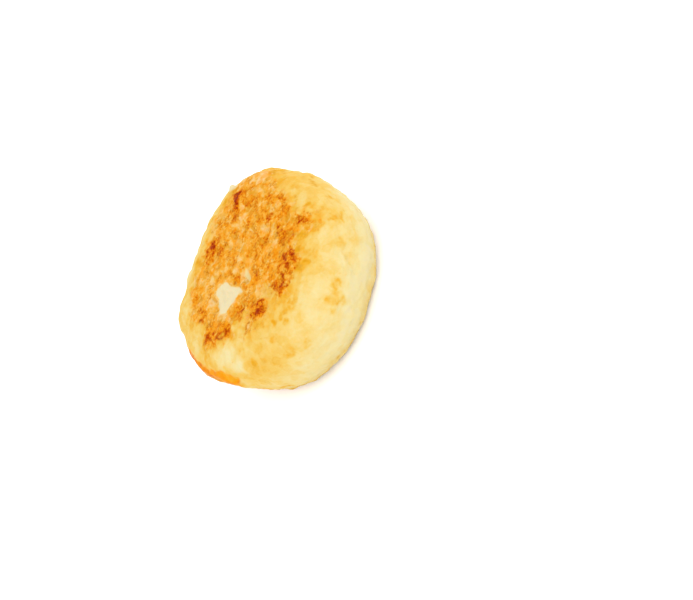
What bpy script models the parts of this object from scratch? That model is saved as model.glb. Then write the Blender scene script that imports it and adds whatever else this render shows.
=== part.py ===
"""One syrnik, a thick puck of curd dough fried on both faces, lying on its base.

Metres, +Z up. The origin is the middle of the base, on the surface that the puck rests on. The face
that shows its crust looks up, and the side of the wall that is seen in front looks along -Y.

The puck is a turned profile, flat on both faces with a soft shoulder above and a tighter one below.
It starts as an icosphere, whose vertices are spread over that profile by equal area. Hand shaping
makes the outline and the wall uneven, and the pan presses the two faces flat. Each face has a crust
with pits and blisters, which is sunk and bare where the dough never touched the pan and raised where
it was scorched. One side was browned as well, and its crust climbs the wall from the base.
"""

import math
from typing import NamedTuple

import bmesh
import bpy
import numpy as np

MM = 0.001


class Patch(NamedTuple):
    """An oval place on a face: middle and half sizes in millimetres, turn in degrees, depth."""

    x: float
    y: float
    half_length: float
    half_width: float
    turn: float
    depth: float


# The puck's driving sizes.
DIAMETER = 65 * MM
THICKNESS = 25.5 * MM
RADIUS = DIAMETER / 2

# The profile's two shoulders: how far each reaches in from the wall and along it.
TOP_SHOULDER_REACH = 0.36 * RADIUS
TOP_SHOULDER_DROP = 0.44 * THICKNESS
BASE_SHOULDER_REACH = 0.22 * RADIUS
BASE_SHOULDER_RISE = THICKNESS - TOP_SHOULDER_DROP
SHOULDER_FULLNESS = 2.2
PROFILE_STEPS = 60
FACE_FALL = 0.5 * MM

# The outline's uneven roundness: lobes around, rise, and the azimuth of one lobe in degrees.
OUTLINE_LOBES = (
    (2, 0.20 * MM, 25),
    (3, 0.83 * MM, 34),
    (4, 0.74 * MM, 51),
    (5, 0.37 * MM, 45),
)

# Where the dough bulged or a finger pressed it in: azimuth, half width in degrees, and rise.
OUTLINE_BENDS = (
    (25, 20, 0.3 * MM),
    (60, 24, 0.5 * MM),
    (84, 15, 1.6 * MM),
    (121, 7, -1.1 * MM),
    (135, 11, 1.8 * MM),
    (236, 12, 0.6 * MM),
    (338, 14, -0.9 * MM),
    (357, 7, 0.4 * MM),
)

# Where only a part of the wall's height is pressed in: azimuth, half width in degrees, height, half
# height, and rise.
WALL_BENDS = (
    (187, 12, 8 * MM, 9 * MM, -2.2 * MM),
    (260, 15, 0 * MM, 6 * MM, -1.3 * MM),
)

# Soft dents and folds all over the wall: wavelength, rise and seed.
WALL_RIPPLES = (
    (24 * MM, 0.16 * MM, 3),
    (12 * MM, 0.12 * MM, 5),
    (6 * MM, 0.06 * MM, 8),
)

# The base: the middle, where the pan pressed the crust quite flat, and how high that press reached.
BASE_SEAT_RADIUS = 5 * MM
BASE_SEAT_EDGE = 3 * MM
BASE_PRESS = 0.08 * MM

# The rim of the base, where the crust ends in a low lip around the foot of the wall.
BASE_LIP_HEIGHT = 1.9 * MM
BASE_LIP_HALF_WIDTH = 1.4 * MM
BASE_LIP_RISE = 0.45 * MM

# The crust of both faces: a ragged round area with low swells, sunk pits and raised blisters.
CRUST_RADIUS = 21.5 * MM
CRUST_EDGE = 1.5 * MM
CRUST_RAGS = ((11 * MM, 1.5 * MM, 21), (5 * MM, 0.9 * MM, 22))
CRUST_SWELLS = ((9 * MM, 0.12 * MM, 11), (3.4 * MM, 0.06 * MM, 14))
PIT_WAVELENGTH = 5.2 * MM
PIT_DEPTH = 0.40 * MM
PIT_SEED = 12
BLISTER_WAVELENGTH = 4.2 * MM
BLISTER_RISE = 0.28 * MM
BLISTER_SEED = 13

# Bare places that the pan never reached, and scorched ones that stood proud in the fat.
TOP_HOLLOWS = (
    Patch(-9.5, 1.2, 5.6, 3.6, -18, 0.60),
    Patch(-7.0, -2.8, 2.6, 1.8, -60, 0.50),
    Patch(-8.8, 5.0, 2.4, 1.8, 20, 0.50),
    Patch(-2.6, -4.4, 1.9, 1.5, 10, 0.45),
    Patch(-7.4, 10.2, 1.6, 1.3, 0, 0.40),
    Patch(10.6, -3.9, 1.7, 1.4, 0, 0.35),
    Patch(-3.0, -15.5, 3.0, 2.2, 70, 0.30),
)
TOP_SCORCHES = (
    Patch(17.6, 17.0, 2.6, 1.8, 60, 0.40),
    Patch(1.0, 17.4, 2.4, 1.6, 0, 0.35),
    Patch(-20.6, -1.6, 4.4, 2.0, -50, 0.40),
    Patch(-9.4, -14.6, 3.6, 3.2, 50, 0.40),
    Patch(0.0, -19.2, 3.4, 2.4, 0, 0.40),
    Patch(6.6, -18.6, 3.4, 2.8, 20, 0.40),
    Patch(12.0, -12.0, 2.2, 3.0, 0, 0.35),
    Patch(17.8, -15.6, 1.6, 2.2, 0, 0.35),
    Patch(-17.2, 8.0, 2.8, 3.0, 0, 0.30),
    Patch(15.6, -2.8, 2.2, 1.4, 0, 0.30),
)
BASE_HOLLOWS = (
    Patch(12.0, 9.0, 5.0, 3.0, 40, 0.60),
    Patch(-14.0, -6.0, 3.6, 2.4, 100, 0.50),
    Patch(-9.0, 15.0, 2.6, 2.0, 10, 0.50),
    Patch(6.0, -15.0, 3.4, 2.0, 160, 0.50),
    Patch(19.0, -7.0, 2.0, 1.6, 0, 0.45),
)
PATCH_SOFTNESS = 0.35
BARE_DEPTH = 0.2 * MM
SCORCH_DEPTH = 0.18 * MM

# A flake of crust that stands up from the far shoulder.
RIM_FLAKES = (Patch(19.2, 22.8, 1.3, 0.9, 130, 1.0),)

# The browned side: a low swelling on the wall, a rounded rectangle in azimuth and height whose
# near edge is a step and whose far edge fades out.
SIDE_CRUST_AZIMUTH = 165
SIDE_CRUST_HALF_WIDTH = 35
SIDE_CRUST_HEIGHT = 6 * MM
SIDE_CRUST_HALF_HEIGHT = 15.5 * MM
SIDE_CRUST_SQUARENESS = 3.5
SIDE_CRUST_SWELL = 0.8 * MM
SIDE_CRUST_STEP = 0.10
SIDE_CRUST_FADE = 0.35

SPHERE_SUBDIVISIONS = 6
TRIANGLES_KEPT = 0.54

# Colours seen in daylight, as linear red, green and blue.
DOUGH_COLOUR = (0.93, 0.68, 0.28, 1)
CRUST_COLOUR = (0.86, 0.38, 0.06, 1)
SCORCH_COLOUR = (0.56, 0.16, 0.02, 1)
ROUGHNESS = 0.55


def clear_scene():
    """Removes the objects that the scene starts with."""
    for thing in list(bpy.data.objects):
        bpy.data.objects.remove(thing)


def make_material(name, colour):
    """A Principled material of one colour."""
    material = bpy.data.materials.new(name)
    material.use_nodes = True
    shader = material.node_tree.nodes["Principled BSDF"]
    shader.inputs["Base Color"].default_value = colour
    shader.inputs["Roughness"].default_value = ROUGHNESS
    shader.inputs["Metallic"].default_value = 0.0
    material.diffuse_color = colour
    return material


def smooth_step(value, low, high):
    """0 below low, 1 above high, and a smooth rise between them."""
    t = np.clip((value - low) / (high - low), 0, 1)
    return t * t * (3 - 2 * t)


def apart_degrees(azimuth, middle):
    """How far an azimuth in radians lies from a middle in degrees, from -180 to 180 degrees."""
    return (np.degrees(azimuth) - middle + 180) % 360 - 180


def ripples(points, wavelength, seed, waves=28):
    """A smooth random field of about unit rise, as the sum of plane waves in seeded directions."""
    draw = np.random.default_rng(seed)
    along = draw.normal(size=(waves, 3))
    along /= np.linalg.norm(along, axis=1, keepdims=True)
    pace = 2 * math.pi / (wavelength * draw.uniform(0.75, 1.3, waves))
    start = draw.uniform(0, 2 * math.pi, waves)
    return np.sin(points @ (along * pace[:, None]).T + start).sum(axis=1) * math.sqrt(2 / waves)


def ripple_sum(points, bands):
    """The sum of ripples, each band with its wavelength, rise and seed."""
    return sum(rise * ripples(points, wavelength, seed) for wavelength, rise, seed in bands)


def half_profile():
    """Radius and height along the profile, from the middle of the top to the middle of the base."""
    turn = np.linspace(0, math.pi / 2, PROFILE_STEPS)
    power = 2 / SHOULDER_FULLNESS
    face = np.linspace(0, RADIUS - TOP_SHOULDER_REACH, PROFILE_STEPS, endpoint=False)
    base = np.linspace(RADIUS - BASE_SHOULDER_REACH, 0, PROFILE_STEPS)[1:]
    top_radius = RADIUS - TOP_SHOULDER_REACH * (1 - np.sin(turn) ** power)
    top_height = THICKNESS - TOP_SHOULDER_DROP * (1 - np.cos(turn) ** power)
    base_radius = RADIUS - BASE_SHOULDER_REACH * (1 - np.cos(turn) ** power)
    base_height = BASE_SHOULDER_RISE * (1 - np.sin(turn) ** power)
    radius = np.concatenate([face, top_radius, base_radius[1:], base])
    height = np.concatenate([np.full_like(face, THICKNESS), top_height, base_height[1:], base * 0])
    return radius, height


def along_profile(share):
    """The profile's radius, height and outward direction at a share of its turned area.

    The share runs from 0 at the middle of the top to 1 at the middle of the base.
    """
    radius, height = half_profile()
    step_out = np.diff(radius)
    step_up = np.diff(height)
    length = np.hypot(step_out, step_up)
    ring = (radius[1:] + radius[:-1]) / 2 * length
    swept = np.concatenate([[0], np.cumsum(ring)]) / ring.sum()
    middle = (swept[1:] + swept[:-1]) / 2
    out = np.interp(share, middle, -step_up / length)
    up = np.interp(share, middle, step_out / length)
    size = np.hypot(out, up)
    return np.interp(share, swept, radius), np.interp(share, swept, height), out / size, up / size


def outline_at(azimuth):
    """How far the outline stands from round at an azimuth, as a factor on the radius."""
    rise = sum(h * np.cos(n * (azimuth - math.radians(at))) for n, h, at in OUTLINE_LOBES)
    for middle, half_width, height in OUTLINE_BENDS:
        rise = rise + height * np.exp(-((apart_degrees(azimuth, middle) / half_width) ** 2))
    return 1 + rise / RADIUS


def patch_depth(x, y, patches):
    """How deep a place lies in soft-edged oval patches, which don't add up where they overlap."""
    depth = np.zeros_like(x)
    for patch in patches:
        c = math.cos(math.radians(patch.turn))
        s = math.sin(math.radians(patch.turn))
        from_x = x / MM - patch.x
        from_y = y / MM - patch.y
        along = (from_x * c + from_y * s) / patch.half_length
        across = (from_y * c - from_x * s) / patch.half_width
        inside = 1 - smooth_step(np.hypot(along, across), 1 - PATCH_SOFTNESS, 1 + PATCH_SOFTNESS)
        depth = np.maximum(depth, patch.depth * MM * inside)
    return depth


def crust_share(points):
    """1 inside the round crust of a face and 0 outside it, with a ragged edge."""
    reach = np.hypot(points[:, 0], points[:, 1]) + ripple_sum(points, CRUST_RAGS)
    return 1 - smooth_step(reach, CRUST_RADIUS - CRUST_EDGE, CRUST_RADIUS + CRUST_EDGE)


def crust_relief(points):
    """The swells, pits and blisters of a crust."""
    pits = smooth_step(ripples(points, PIT_WAVELENGTH, PIT_SEED), 0.8, 2.0)
    blisters = smooth_step(ripples(points, BLISTER_WAVELENGTH, BLISTER_SEED), 0.7, 1.9)
    return ripple_sum(points, CRUST_SWELLS) - PIT_DEPTH * pits + BLISTER_RISE * blisters


def side_crust(azimuth, height):
    """1 inside the browned side and 0 outside it."""
    across = apart_degrees(azimuth, SIDE_CRUST_AZIMUTH) / SIDE_CRUST_HALF_WIDTH
    along = (height - SIDE_CRUST_HEIGHT) / SIDE_CRUST_HALF_HEIGHT
    reach = np.abs(across) ** SIDE_CRUST_SQUARENESS + np.abs(along) ** SIDE_CRUST_SQUARENESS
    softness = SIDE_CRUST_STEP + (SIDE_CRUST_FADE - SIDE_CRUST_STEP) * smooth_step(-across, 0, 1)
    near = reach ** (1 / SIDE_CRUST_SQUARENESS)
    return 1 - smooth_step(near, 1 - softness, 1 + SIDE_CRUST_STEP / 3)


def wall_bend(azimuth, height):
    """How far the wall is pressed in at an azimuth and a height."""
    rise = np.zeros_like(height)
    for middle, half_width, middle_height, half_height, deep in WALL_BENDS:
        across = apart_degrees(azimuth, middle) / half_width
        along = (height - middle_height) / half_height
        rise += deep * np.exp(-(across**2) - along**2)
    return rise


def base_lip(height):
    """The rise of the lip around the foot of the wall."""
    return BASE_LIP_RISE * np.exp(-(((height - BASE_LIP_HEIGHT) / BASE_LIP_HALF_WIDTH) ** 2))


def puck_points(directions):
    """Where each vertex of a unit sphere lies on the syrnik, and how browned it is there.

    The browning is 0 on bare dough, 1 on crust and 2 where it is scorched.
    """
    azimuth = np.arctan2(directions[:, 1], directions[:, 0])
    radius, height, out, up = along_profile((1 - directions[:, 2]) / 2)
    radius = radius * outline_at(azimuth) + (radius / RADIUS) ** 2 * wall_bend(azimuth, height)
    x = radius * np.cos(azimuth)
    y = radius * np.sin(azimuth)
    points = np.stack([x, y, height], axis=1)

    on_top = smooth_step(up, 0.75, 0.98)
    on_base = smooth_step(-up, 0.80, 0.98)
    on_wall = (1 - on_top) * (1 - on_base)
    crust = crust_share(points) * (on_top + on_base)
    side = side_crust(azimuth, height) * (1 - on_base)
    relief = crust_relief(points)
    hollows = on_top * patch_depth(x, y, TOP_HOLLOWS) + on_base * patch_depth(x, y, BASE_HOLLOWS)
    scorches = on_top * patch_depth(x, y, TOP_SCORCHES)

    rise = on_wall * (ripple_sum(points, WALL_RIPPLES) + base_lip(height))
    rise += SIDE_CRUST_SWELL * side
    rise += on_top * (crust * relief + scorches * (crust + 1) / 2)
    rough = smooth_step(radius, BASE_SEAT_RADIUS, BASE_SEAT_RADIUS + BASE_SEAT_EDGE)
    rise += on_base * rough * np.minimum(crust * relief, 0)
    rise += (up > 0) * patch_depth(x, y, RIM_FLAKES) - hollows
    rise -= on_top * FACE_FALL * (radius / RADIUS) ** 2
    outward = np.stack([out * np.cos(azimuth), out * np.sin(azimuth), up], axis=1)
    points += rise[:, None] * outward
    points[:, 2] = np.maximum(points[:, 2], 0)

    browned = np.maximum(crust * (hollows < BARE_DEPTH), side)
    return points, browned + browned * (scorches > SCORCH_DEPTH)


def settle(points):
    """Moves the puck so that its box stands on the origin, and gives it its exact thickness."""
    low = points.min(axis=0)
    high = points.max(axis=0)
    points[:, :2] -= (low[:2] + high[:2]) / 2
    points[:, 2] = (points[:, 2] - low[2]) * THICKNESS / (high[2] - low[2])
    return points


def thin_out(syrnik):
    """Takes the solid down to fewer triangles, and presses its base flat again."""
    thinning = syrnik.modifiers.new("fewer triangles", "DECIMATE")
    thinning.ratio = TRIANGLES_KEPT
    evaluated = syrnik.evaluated_get(bpy.context.evaluated_depsgraph_get())
    mesh = bpy.data.meshes.new_from_object(evaluated)
    for vertex in mesh.vertices:
        if vertex.co.z < BASE_PRESS:
            vertex.co.z = 0
    syrnik.modifiers.remove(thinning)
    syrnik.data = mesh


def make_syrnik(collection):
    """The whole syrnik as one solid, its faces in a dough, a crust or a scorch slot."""
    sphere = bmesh.new()
    bmesh.ops.create_icosphere(sphere, subdivisions=SPHERE_SUBDIVISIONS, radius=1)
    directions = np.array([vertex.co[:] for vertex in sphere.verts])
    points, browning = puck_points(directions)
    for vertex, place in zip(sphere.verts, settle(points)):
        vertex.co = place
    for face in sphere.faces:
        mean = sum(browning[vertex.index] for vertex in face.verts) / len(face.verts)
        face.material_index = min(2, round(mean))
    mesh = bpy.data.meshes.new("syrnik")
    sphere.to_mesh(mesh)
    sphere.free()
    mesh.materials.append(make_material("dough", DOUGH_COLOUR))
    mesh.materials.append(make_material("crust", CRUST_COLOUR))
    mesh.materials.append(make_material("scorch", SCORCH_COLOUR))
    mesh.shade_smooth()

    syrnik = bpy.data.objects.new("syrnik", mesh)
    collection.objects.link(syrnik)
    thin_out(syrnik)


def main():
    clear_scene()
    collection = bpy.data.collections.new("syrnik")
    bpy.context.scene.collection.children.link(collection)
    make_syrnik(collection)


main()
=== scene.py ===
"""The looks of one syrnik, a thick puck of fried curd dough, on a plain white floor.

Metres, +Z up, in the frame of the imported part. The puck is one closed skin: a cube's six faces, blown up
to a sphere, are spread over a turned profile by area, then shaped by hand, pressed flat by the pan and
roughened by frying. Each point of the skin carries a few numbers that say how golden the dough is there,
how brown the crust is, and how much of it is crust; the finish turns them into colour.
"""

import itertools
import logging
import math
from dataclasses import dataclass
from enum import Enum

import bpy
import numpy as np
from mathutils import Matrix, Vector


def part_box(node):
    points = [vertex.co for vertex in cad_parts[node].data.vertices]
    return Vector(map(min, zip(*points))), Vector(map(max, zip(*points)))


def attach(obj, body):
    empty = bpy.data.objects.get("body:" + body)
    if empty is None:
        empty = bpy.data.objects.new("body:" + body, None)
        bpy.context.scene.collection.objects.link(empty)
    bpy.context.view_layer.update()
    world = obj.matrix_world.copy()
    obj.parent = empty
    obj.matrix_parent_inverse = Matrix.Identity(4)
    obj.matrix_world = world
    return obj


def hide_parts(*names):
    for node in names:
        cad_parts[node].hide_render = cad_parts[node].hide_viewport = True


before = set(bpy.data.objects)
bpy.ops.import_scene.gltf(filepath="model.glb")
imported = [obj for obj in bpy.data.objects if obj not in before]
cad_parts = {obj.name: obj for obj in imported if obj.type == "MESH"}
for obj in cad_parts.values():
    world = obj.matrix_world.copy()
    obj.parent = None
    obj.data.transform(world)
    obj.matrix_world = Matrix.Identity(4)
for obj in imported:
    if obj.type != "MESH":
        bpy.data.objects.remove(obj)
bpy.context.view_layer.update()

MM = 0.001
LOG = logging.getLogger("syrnik")

# The shortest and the longest wave of a ripple, as shares of its wavelength.
WAVE_SHARES = (0.75, 1.3)
# Large odd numbers that stir the indices of a lattice's cell and a seed into one number.
STIRS = (374761393, 668265263, 2246822519, 3266489917)
SEED_START = 104729
# How far apart the seeds of a field's octaves, of its axes and of its grains' own numbers lie.
OCTAVE_SEEDS = 7
AXIS_SEEDS = 101
NUMBER_SEEDS = 404
# What brings cloudy noise to about -1 to 1.
CLOUD_GAIN = 1.7
# Farther than any way that counts, in millimetres or in cells.
FAR = 99.0

Array = np.ndarray


class Node(Enum):
    """The solids of the frame."""

    SYRNIK = "syrnik"


class Body(Enum):
    """The bodies that pieces ride on."""

    ROOT = "root"


class Slot(Enum):
    """The record's material slots."""

    FRIED_DOUGH = "fried_dough"


class Mark(Enum):
    """The numbers that each point carries for its finish to read.

    DOUGH is 0 on the palest curd and 1 on deep gold. CRUST is 0 on a peach blush and 1 where it is
    scorched. FRIED is the share of crust over dough, SPECK that of thin brown lines and dots, with a line
    round the foot of the wall that is partly painted contact shadow, and OILY that of fat soaked in.
    """

    DOUGH = "dough"
    CRUST = "crust"
    FRIED = "fried"
    SPECK = "speck"
    OILY = "oily"


# ---------- Plain functions on arrays ----------


def smooth_step(value: Array, low: float, high: float) -> Array:
    """0 below low, 1 above high, and a smooth rise between them."""
    t = np.clip((value - low) / (high - low), 0, 1)
    return t * t * (3 - 2 * t)


def blend(first: Array | float, second: Array | float, share: Array) -> Array:
    """The first value where the share is 0 and the second where it is 1."""
    return first + (second - first) * share


def bell(distance: Array) -> Array:
    """1 at no distance, falling off smoothly: e to the minus distance squared."""
    return np.exp(-(distance**2))


def apart_degrees(azimuth: Array, middle: float) -> Array:
    """How far an azimuth in radians lies from a middle in degrees, from -180 to 180 degrees."""
    return (np.degrees(azimuth) - middle + 180) % 360 - 180


def ripples(points: Array, wavelength: float, seed: int, waves: int = 28) -> Array:
    """A smooth random field of about unit rise: the sum of plane waves in seeded directions.

    Args:
        points: Places in metres, one a row.
        wavelength: The middle wavelength in metres.
        seed: The seed of the waves' directions, paces and starts.
        waves: How many waves are added.

    Returns:
        One number for each place.
    """
    draw = np.random.default_rng(seed)
    along = draw.normal(size=(waves, 3))
    along /= np.linalg.norm(along, axis=1, keepdims=True)
    pace = 2 * math.pi / (wavelength * draw.uniform(*WAVE_SHARES, waves))
    start = draw.uniform(0, 2 * math.pi, waves)
    return np.sin(points @ (along * pace[:, None]).T + start).sum(axis=1) * math.sqrt(2 / waves)


def ripple_sum(points: Array, bands: tuple) -> Array:
    """The sum of ripples, each band with its wavelength, rise and seed."""
    return sum(rise * ripples(points, wavelength, seed) for wavelength, rise, seed in bands)


def cell_numbers(cells: Array, seed: int) -> Array:
    """A number from 0 to 1 for each cell of a cubic lattice, the same in every run.

    The cell's three indices are multiplied by large odd numbers, joined and stirred twice.

    Args:
        cells: The cells' indices, three a row.
        seed: The seed of the numbers.

    Returns:
        One number for each cell.
    """
    first, second, third, last = (np.uint32(stir) for stir in STIRS)
    x, y, z = (cells[..., k].astype(np.int64).astype(np.uint32) for k in range(3))
    stirred = x * first ^ y * second ^ z * third
    stirred ^= np.uint32((seed * STIRS[-1] + SEED_START) % 2**32)
    stirred = (stirred ^ (stirred >> np.uint32(15))) * third
    stirred = (stirred ^ (stirred >> np.uint32(13))) * last
    stirred ^= stirred >> np.uint32(16)
    return stirred / 2.0**32


def axis_numbers(cells: Array, seed: int) -> Array:
    """Three numbers from 0 to 1 for each cell, one for each axis."""
    return np.stack([cell_numbers(cells, seed + AXIS_SEEDS * k) for k in range(3)], axis=1)


@dataclass(frozen=True)
class Clouds:
    """Cloudy noise from about minus its rise to its rise.

    Each corner of a cubic lattice has a random slope. The noise is the eight corners' slopes times the
    way to the point, blended by a smooth curve. The size is the side of the lattice's cells in metres,
    and each further octave has half the size and half the rise.
    """

    size: float
    seed: int
    octaves: int = 2
    rise: float = 1.0

    def at(self, points: Array) -> Array:
        """The noise at each place.

        Args:
            points: Places in metres, one a row.

        Returns:
            One number for each place.
        """
        total = np.zeros(len(points))
        for octave in range(self.octaves):
            place = points / (self.size / 2**octave)
            corner = np.floor(place)
            within = place - corner
            fade = within**3 * (within * (within * 6 - 15) + 10)
            value = np.zeros(len(points))
            for step in itertools.product((0, 1), repeat=3):
                slope = axis_numbers(corner + step, self.seed + OCTAVE_SEEDS * octave) * 2 - 1
                near = np.where(np.array(step) == 1, fade, 1 - fade).prod(axis=1)
                value += near * (slope * (within - step)).sum(axis=1)
            total += value * CLOUD_GAIN / 2**octave
        return self.rise * total


@dataclass(frozen=True)
class Blots:
    """Soft-edged blots: they begin where cloudy noise is over low and are full where it is over high."""

    clouds: Clouds
    low: float
    high: float
    strength: float = 1.0

    def at(self, points: Array) -> Array:
        """0 outside the blots and their strength well inside them."""
        return self.strength * smooth_step(self.clouds.at(points), self.low, self.high)


@dataclass(frozen=True)
class Curls:
    """Thin curly lines where cloudy noise crosses zero. They fade out a thickness of it away."""

    clouds: Clouds
    thickness: float
    core: float = 0.3

    def at(self, points: Array) -> Array:
        """1 on the lines and 0 beside them."""
        return 1 - smooth_step(np.abs(self.clouds.at(points)), self.core * self.thickness, self.thickness)


@dataclass(frozen=True)
class Grains:
    """Cells of uneven grains, one middle in each cell of a lattice with sides of a size in metres."""

    size: float
    seed: int

    def at(self, points: Array) -> tuple[Array, Array]:
        """The nearest grain of each place.

        Args:
            points: Places in metres, one a row.

        Returns:
            How far each place is from that grain's middle, in cells, and the grain's own number.
        """
        place = points / self.size
        home = np.floor(place)
        nearest = np.full(len(points), FAR)
        number = np.zeros(len(points))
        for step in itertools.product((-1, 0, 1), repeat=3):
            cells = home + step
            away = np.linalg.norm(place - (cells + axis_numbers(cells, self.seed)), axis=1)
            closer = away < nearest
            nearest = np.where(closer, away, nearest)
            number = np.where(closer, cell_numbers(cells, self.seed + NUMBER_SEEDS), number)
        return nearest, number


# ---------- Marks that are placed one by one -------


class Sheet(Enum):
    """What the two numbers of a place mean: x and y on a face, or an azimuth and a height on the wall."""

    FACE = "face"
    WALL = "wall"


# The radius at which ways along the wall are measured, in millimetres.
WALL_RADIUS = 32.5
# A stroke's half width at its ends, as a share of that in its middle.
STROKE_END = 0.45
# The least half width of a scattered oval, as a share of its half length.
SLIMMEST = 0.4


@dataclass(frozen=True)
class Places:
    """Many places of a sheet, in millimetres and, where it is an azimuth, radians."""

    sheet: Sheet
    first: Array
    second: Array

    def ways_from(self, at: tuple[float, float]) -> tuple[Array, Array]:
        """The ways from one place of the sheet to all of these.

        On the wall the way along it is the angle between them times the wall's radius.

        Args:
            at: The one place, in millimetres and, where it is an azimuth, degrees.

        Returns:
            The ways in millimetres along the first and the second number.
        """
        if self.sheet is Sheet.FACE:
            return self.first - at[0], self.second - at[1]
        return np.radians(apart_degrees(self.first, at[0])) * WALL_RADIUS, self.second - at[1]


@dataclass(frozen=True)
class Oval:
    """A soft-edged oval mark, its half sizes in millimetres and its turn in degrees."""

    x: float
    y: float
    half_length: float
    half_width: float
    strength: float
    turn: float = 0.0

    def inside(self, places: Places, softness: float) -> Array:
        """How far inside the oval each place is.

        The reach is the length of the way from its middle, turned into the oval's own axes and
        divided by its half sizes, and it fades out around a reach of 1.

        Args:
            places: The places.
            softness: How far around its edge it fades, as a share of its half sizes.

        Returns:
            1 well inside the oval and 0 outside it.
        """
        from_x, from_y = places.ways_from((self.x, self.y))
        turn = math.radians(self.turn)
        along = (from_x * math.cos(turn) + from_y * math.sin(turn)) / self.half_length
        across = (from_y * math.cos(turn) - from_x * math.sin(turn)) / self.half_width
        return 1 - smooth_step(np.hypot(along, across), 1 - softness, 1 + softness)


@dataclass(frozen=True)
class Stroke:
    """A thin line through a few knots, which tapers to both ends. Its half width is in millimetres."""

    half_width: float
    strength: float
    knots: tuple

    def inside(self, places: Places, softness: float) -> Array:
        """How far inside the line each place is.

        For each stretch, the way to its nearest place is divided by the half width there, which is
        full in the middle of the line and less at its ends. The nearest stretch counts.

        Args:
            places: The places.
            softness: How far around its edge it fades, as a share of its half width.

        Returns:
            1 on the line and 0 beside it.
        """
        reach = np.full_like(places.first, FAR)
        stretches = len(self.knots) - 1
        for k, (start, end) in enumerate(zip(self.knots, self.knots[1:])):
            near_x, near_y = places.ways_from(start)
            far_x, far_y = places.ways_from(end)
            step_x = near_x - far_x
            step_y = near_y - far_y
            share = np.clip((near_x * step_x + near_y * step_y) / (step_x**2 + step_y**2), 0, 1)
            done = (k + share) / stretches
            half_width = self.half_width * blend(STROKE_END, 1.0, np.sqrt(4 * done * (1 - done)))
            away = np.hypot(near_x - share * step_x, near_y - share * step_y)
            reach = np.minimum(reach, away / half_width)
        return 1 - smooth_step(reach, 1 - softness, 1 + softness)


@dataclass(frozen=True)
class Patch:
    """A patch with an uneven outline, given by its corners."""

    corners: tuple

    def within(self, places: Places) -> Array:
        """How deep inside the outline each place is.

        The depth is the way to the nearest side. Its sign comes from the number of sides that a line
        from the place to the right crosses: an odd number means inside.

        Args:
            places: The places.

        Returns:
            The depth in millimetres, less than 0 outside.
        """
        home = self.corners[0]
        pace = 1.0 if places.sheet is Sheet.FACE else math.radians(1) * WALL_RADIUS
        x, y = places.ways_from(home)
        nearest = np.full_like(x, FAR)
        inside = np.zeros(x.shape, dtype=bool)
        for start, end in zip(self.corners, self.corners[1:] + self.corners[:1]):
            from_x = x - (start[0] - home[0]) * pace
            from_y = y - (start[1] - home[1])
            side_x = (end[0] - start[0]) * pace
            side_y = end[1] - start[1]
            share = np.clip((from_x * side_x + from_y * side_y) / (side_x**2 + side_y**2), 0, 1)
            nearest = np.minimum(nearest, np.hypot(from_x - share * side_x, from_y - share * side_y))
            if side_y != 0:
                crosses = (from_y > 0) != (from_y > side_y)
                inside ^= crosses & (from_x < from_y * side_x / side_y)
        return np.where(inside, nearest, -nearest)


def ovals(*rows: tuple) -> tuple[Oval, ...]:
    """Ovals from rows of x, y, half length, half width, strength and, if it isn't 0, turn."""
    return tuple(Oval(*row) for row in rows)


def strokes(*rows: tuple) -> tuple[Stroke, ...]:
    """Strokes from rows of half width, strength and then the knots of each."""
    return tuple(Stroke(half_width, strength, tuple(knots)) for half_width, strength, *knots in rows)


def strongest(marks: tuple, places: Places, softness: float) -> Array:
    """The strength of the strongest mark at each place.

    Args:
        marks: Ovals or strokes.
        places: The places.
        softness: How far around its edge a mark fades, as a share of its half sizes.

    Returns:
        One strength for each place.
    """
    found = np.zeros_like(places.first)
    for mark in marks:
        found = np.maximum(found, mark.strength * mark.inside(places, softness))
    return found


def scattered(count: int, reach: float, half_sizes: tuple, strengths: tuple, seed: int) -> tuple[Oval, ...]:
    """Ovals spread evenly over a round face by seeded draws.

    Args:
        count: How many.
        reach: The face's radius in millimetres.
        half_sizes: The smallest and the largest half length in millimetres.
        strengths: The weakest and the strongest.
        seed: The seed of the draws.

    Returns:
        The ovals.
    """
    draw = np.random.default_rng(seed)
    found = []
    for _ in range(count):
        angle = draw.uniform(0, 2 * math.pi)
        radius = reach * math.sqrt(draw.uniform(0, 1))
        half = draw.uniform(*half_sizes)
        sizes = (half, half * draw.uniform(SLIMMEST, 1))
        turn = draw.uniform(0, 180)
        place = (radius * math.cos(angle), radius * math.sin(angle))
        found.append(Oval(*place, *sizes, draw.uniform(*strengths), turn))
    return tuple(found)


# ---------- The form of the puck, as the solid has it ----------


@dataclass
class Skin:
    """The skin's points about the puck's own axis, in metres.

    Outward is the way that each point faces. On_top and on_base are 1 on the flat faces and 0 off them,
    and crust is 1 inside the round crust of a face.
    """

    points: Array
    azimuth: Array
    outward: Array
    on_top: Array
    on_base: Array
    crust: Array

    @property
    def height(self) -> Array:
        """The points' height in millimetres."""
        return self.points[:, 2] / MM

    @property
    def wall(self) -> Places:
        """The points by azimuth and height."""
        return Places(Sheet.WALL, self.azimuth, self.height)

    def face(self, shift: tuple = (0, 0), share: float = 1) -> Places:
        """The points by x and y, drawn aside by a share of a shift in millimetres."""
        return Places(Sheet.FACE, *(self.points[:, k] / MM + share * shift[k] for k in range(2)))

    @property
    def on_wall(self) -> Array:
        """1 on the wall and 0 on the two faces."""
        return (1 - self.on_top) * (1 - self.on_base)


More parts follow.
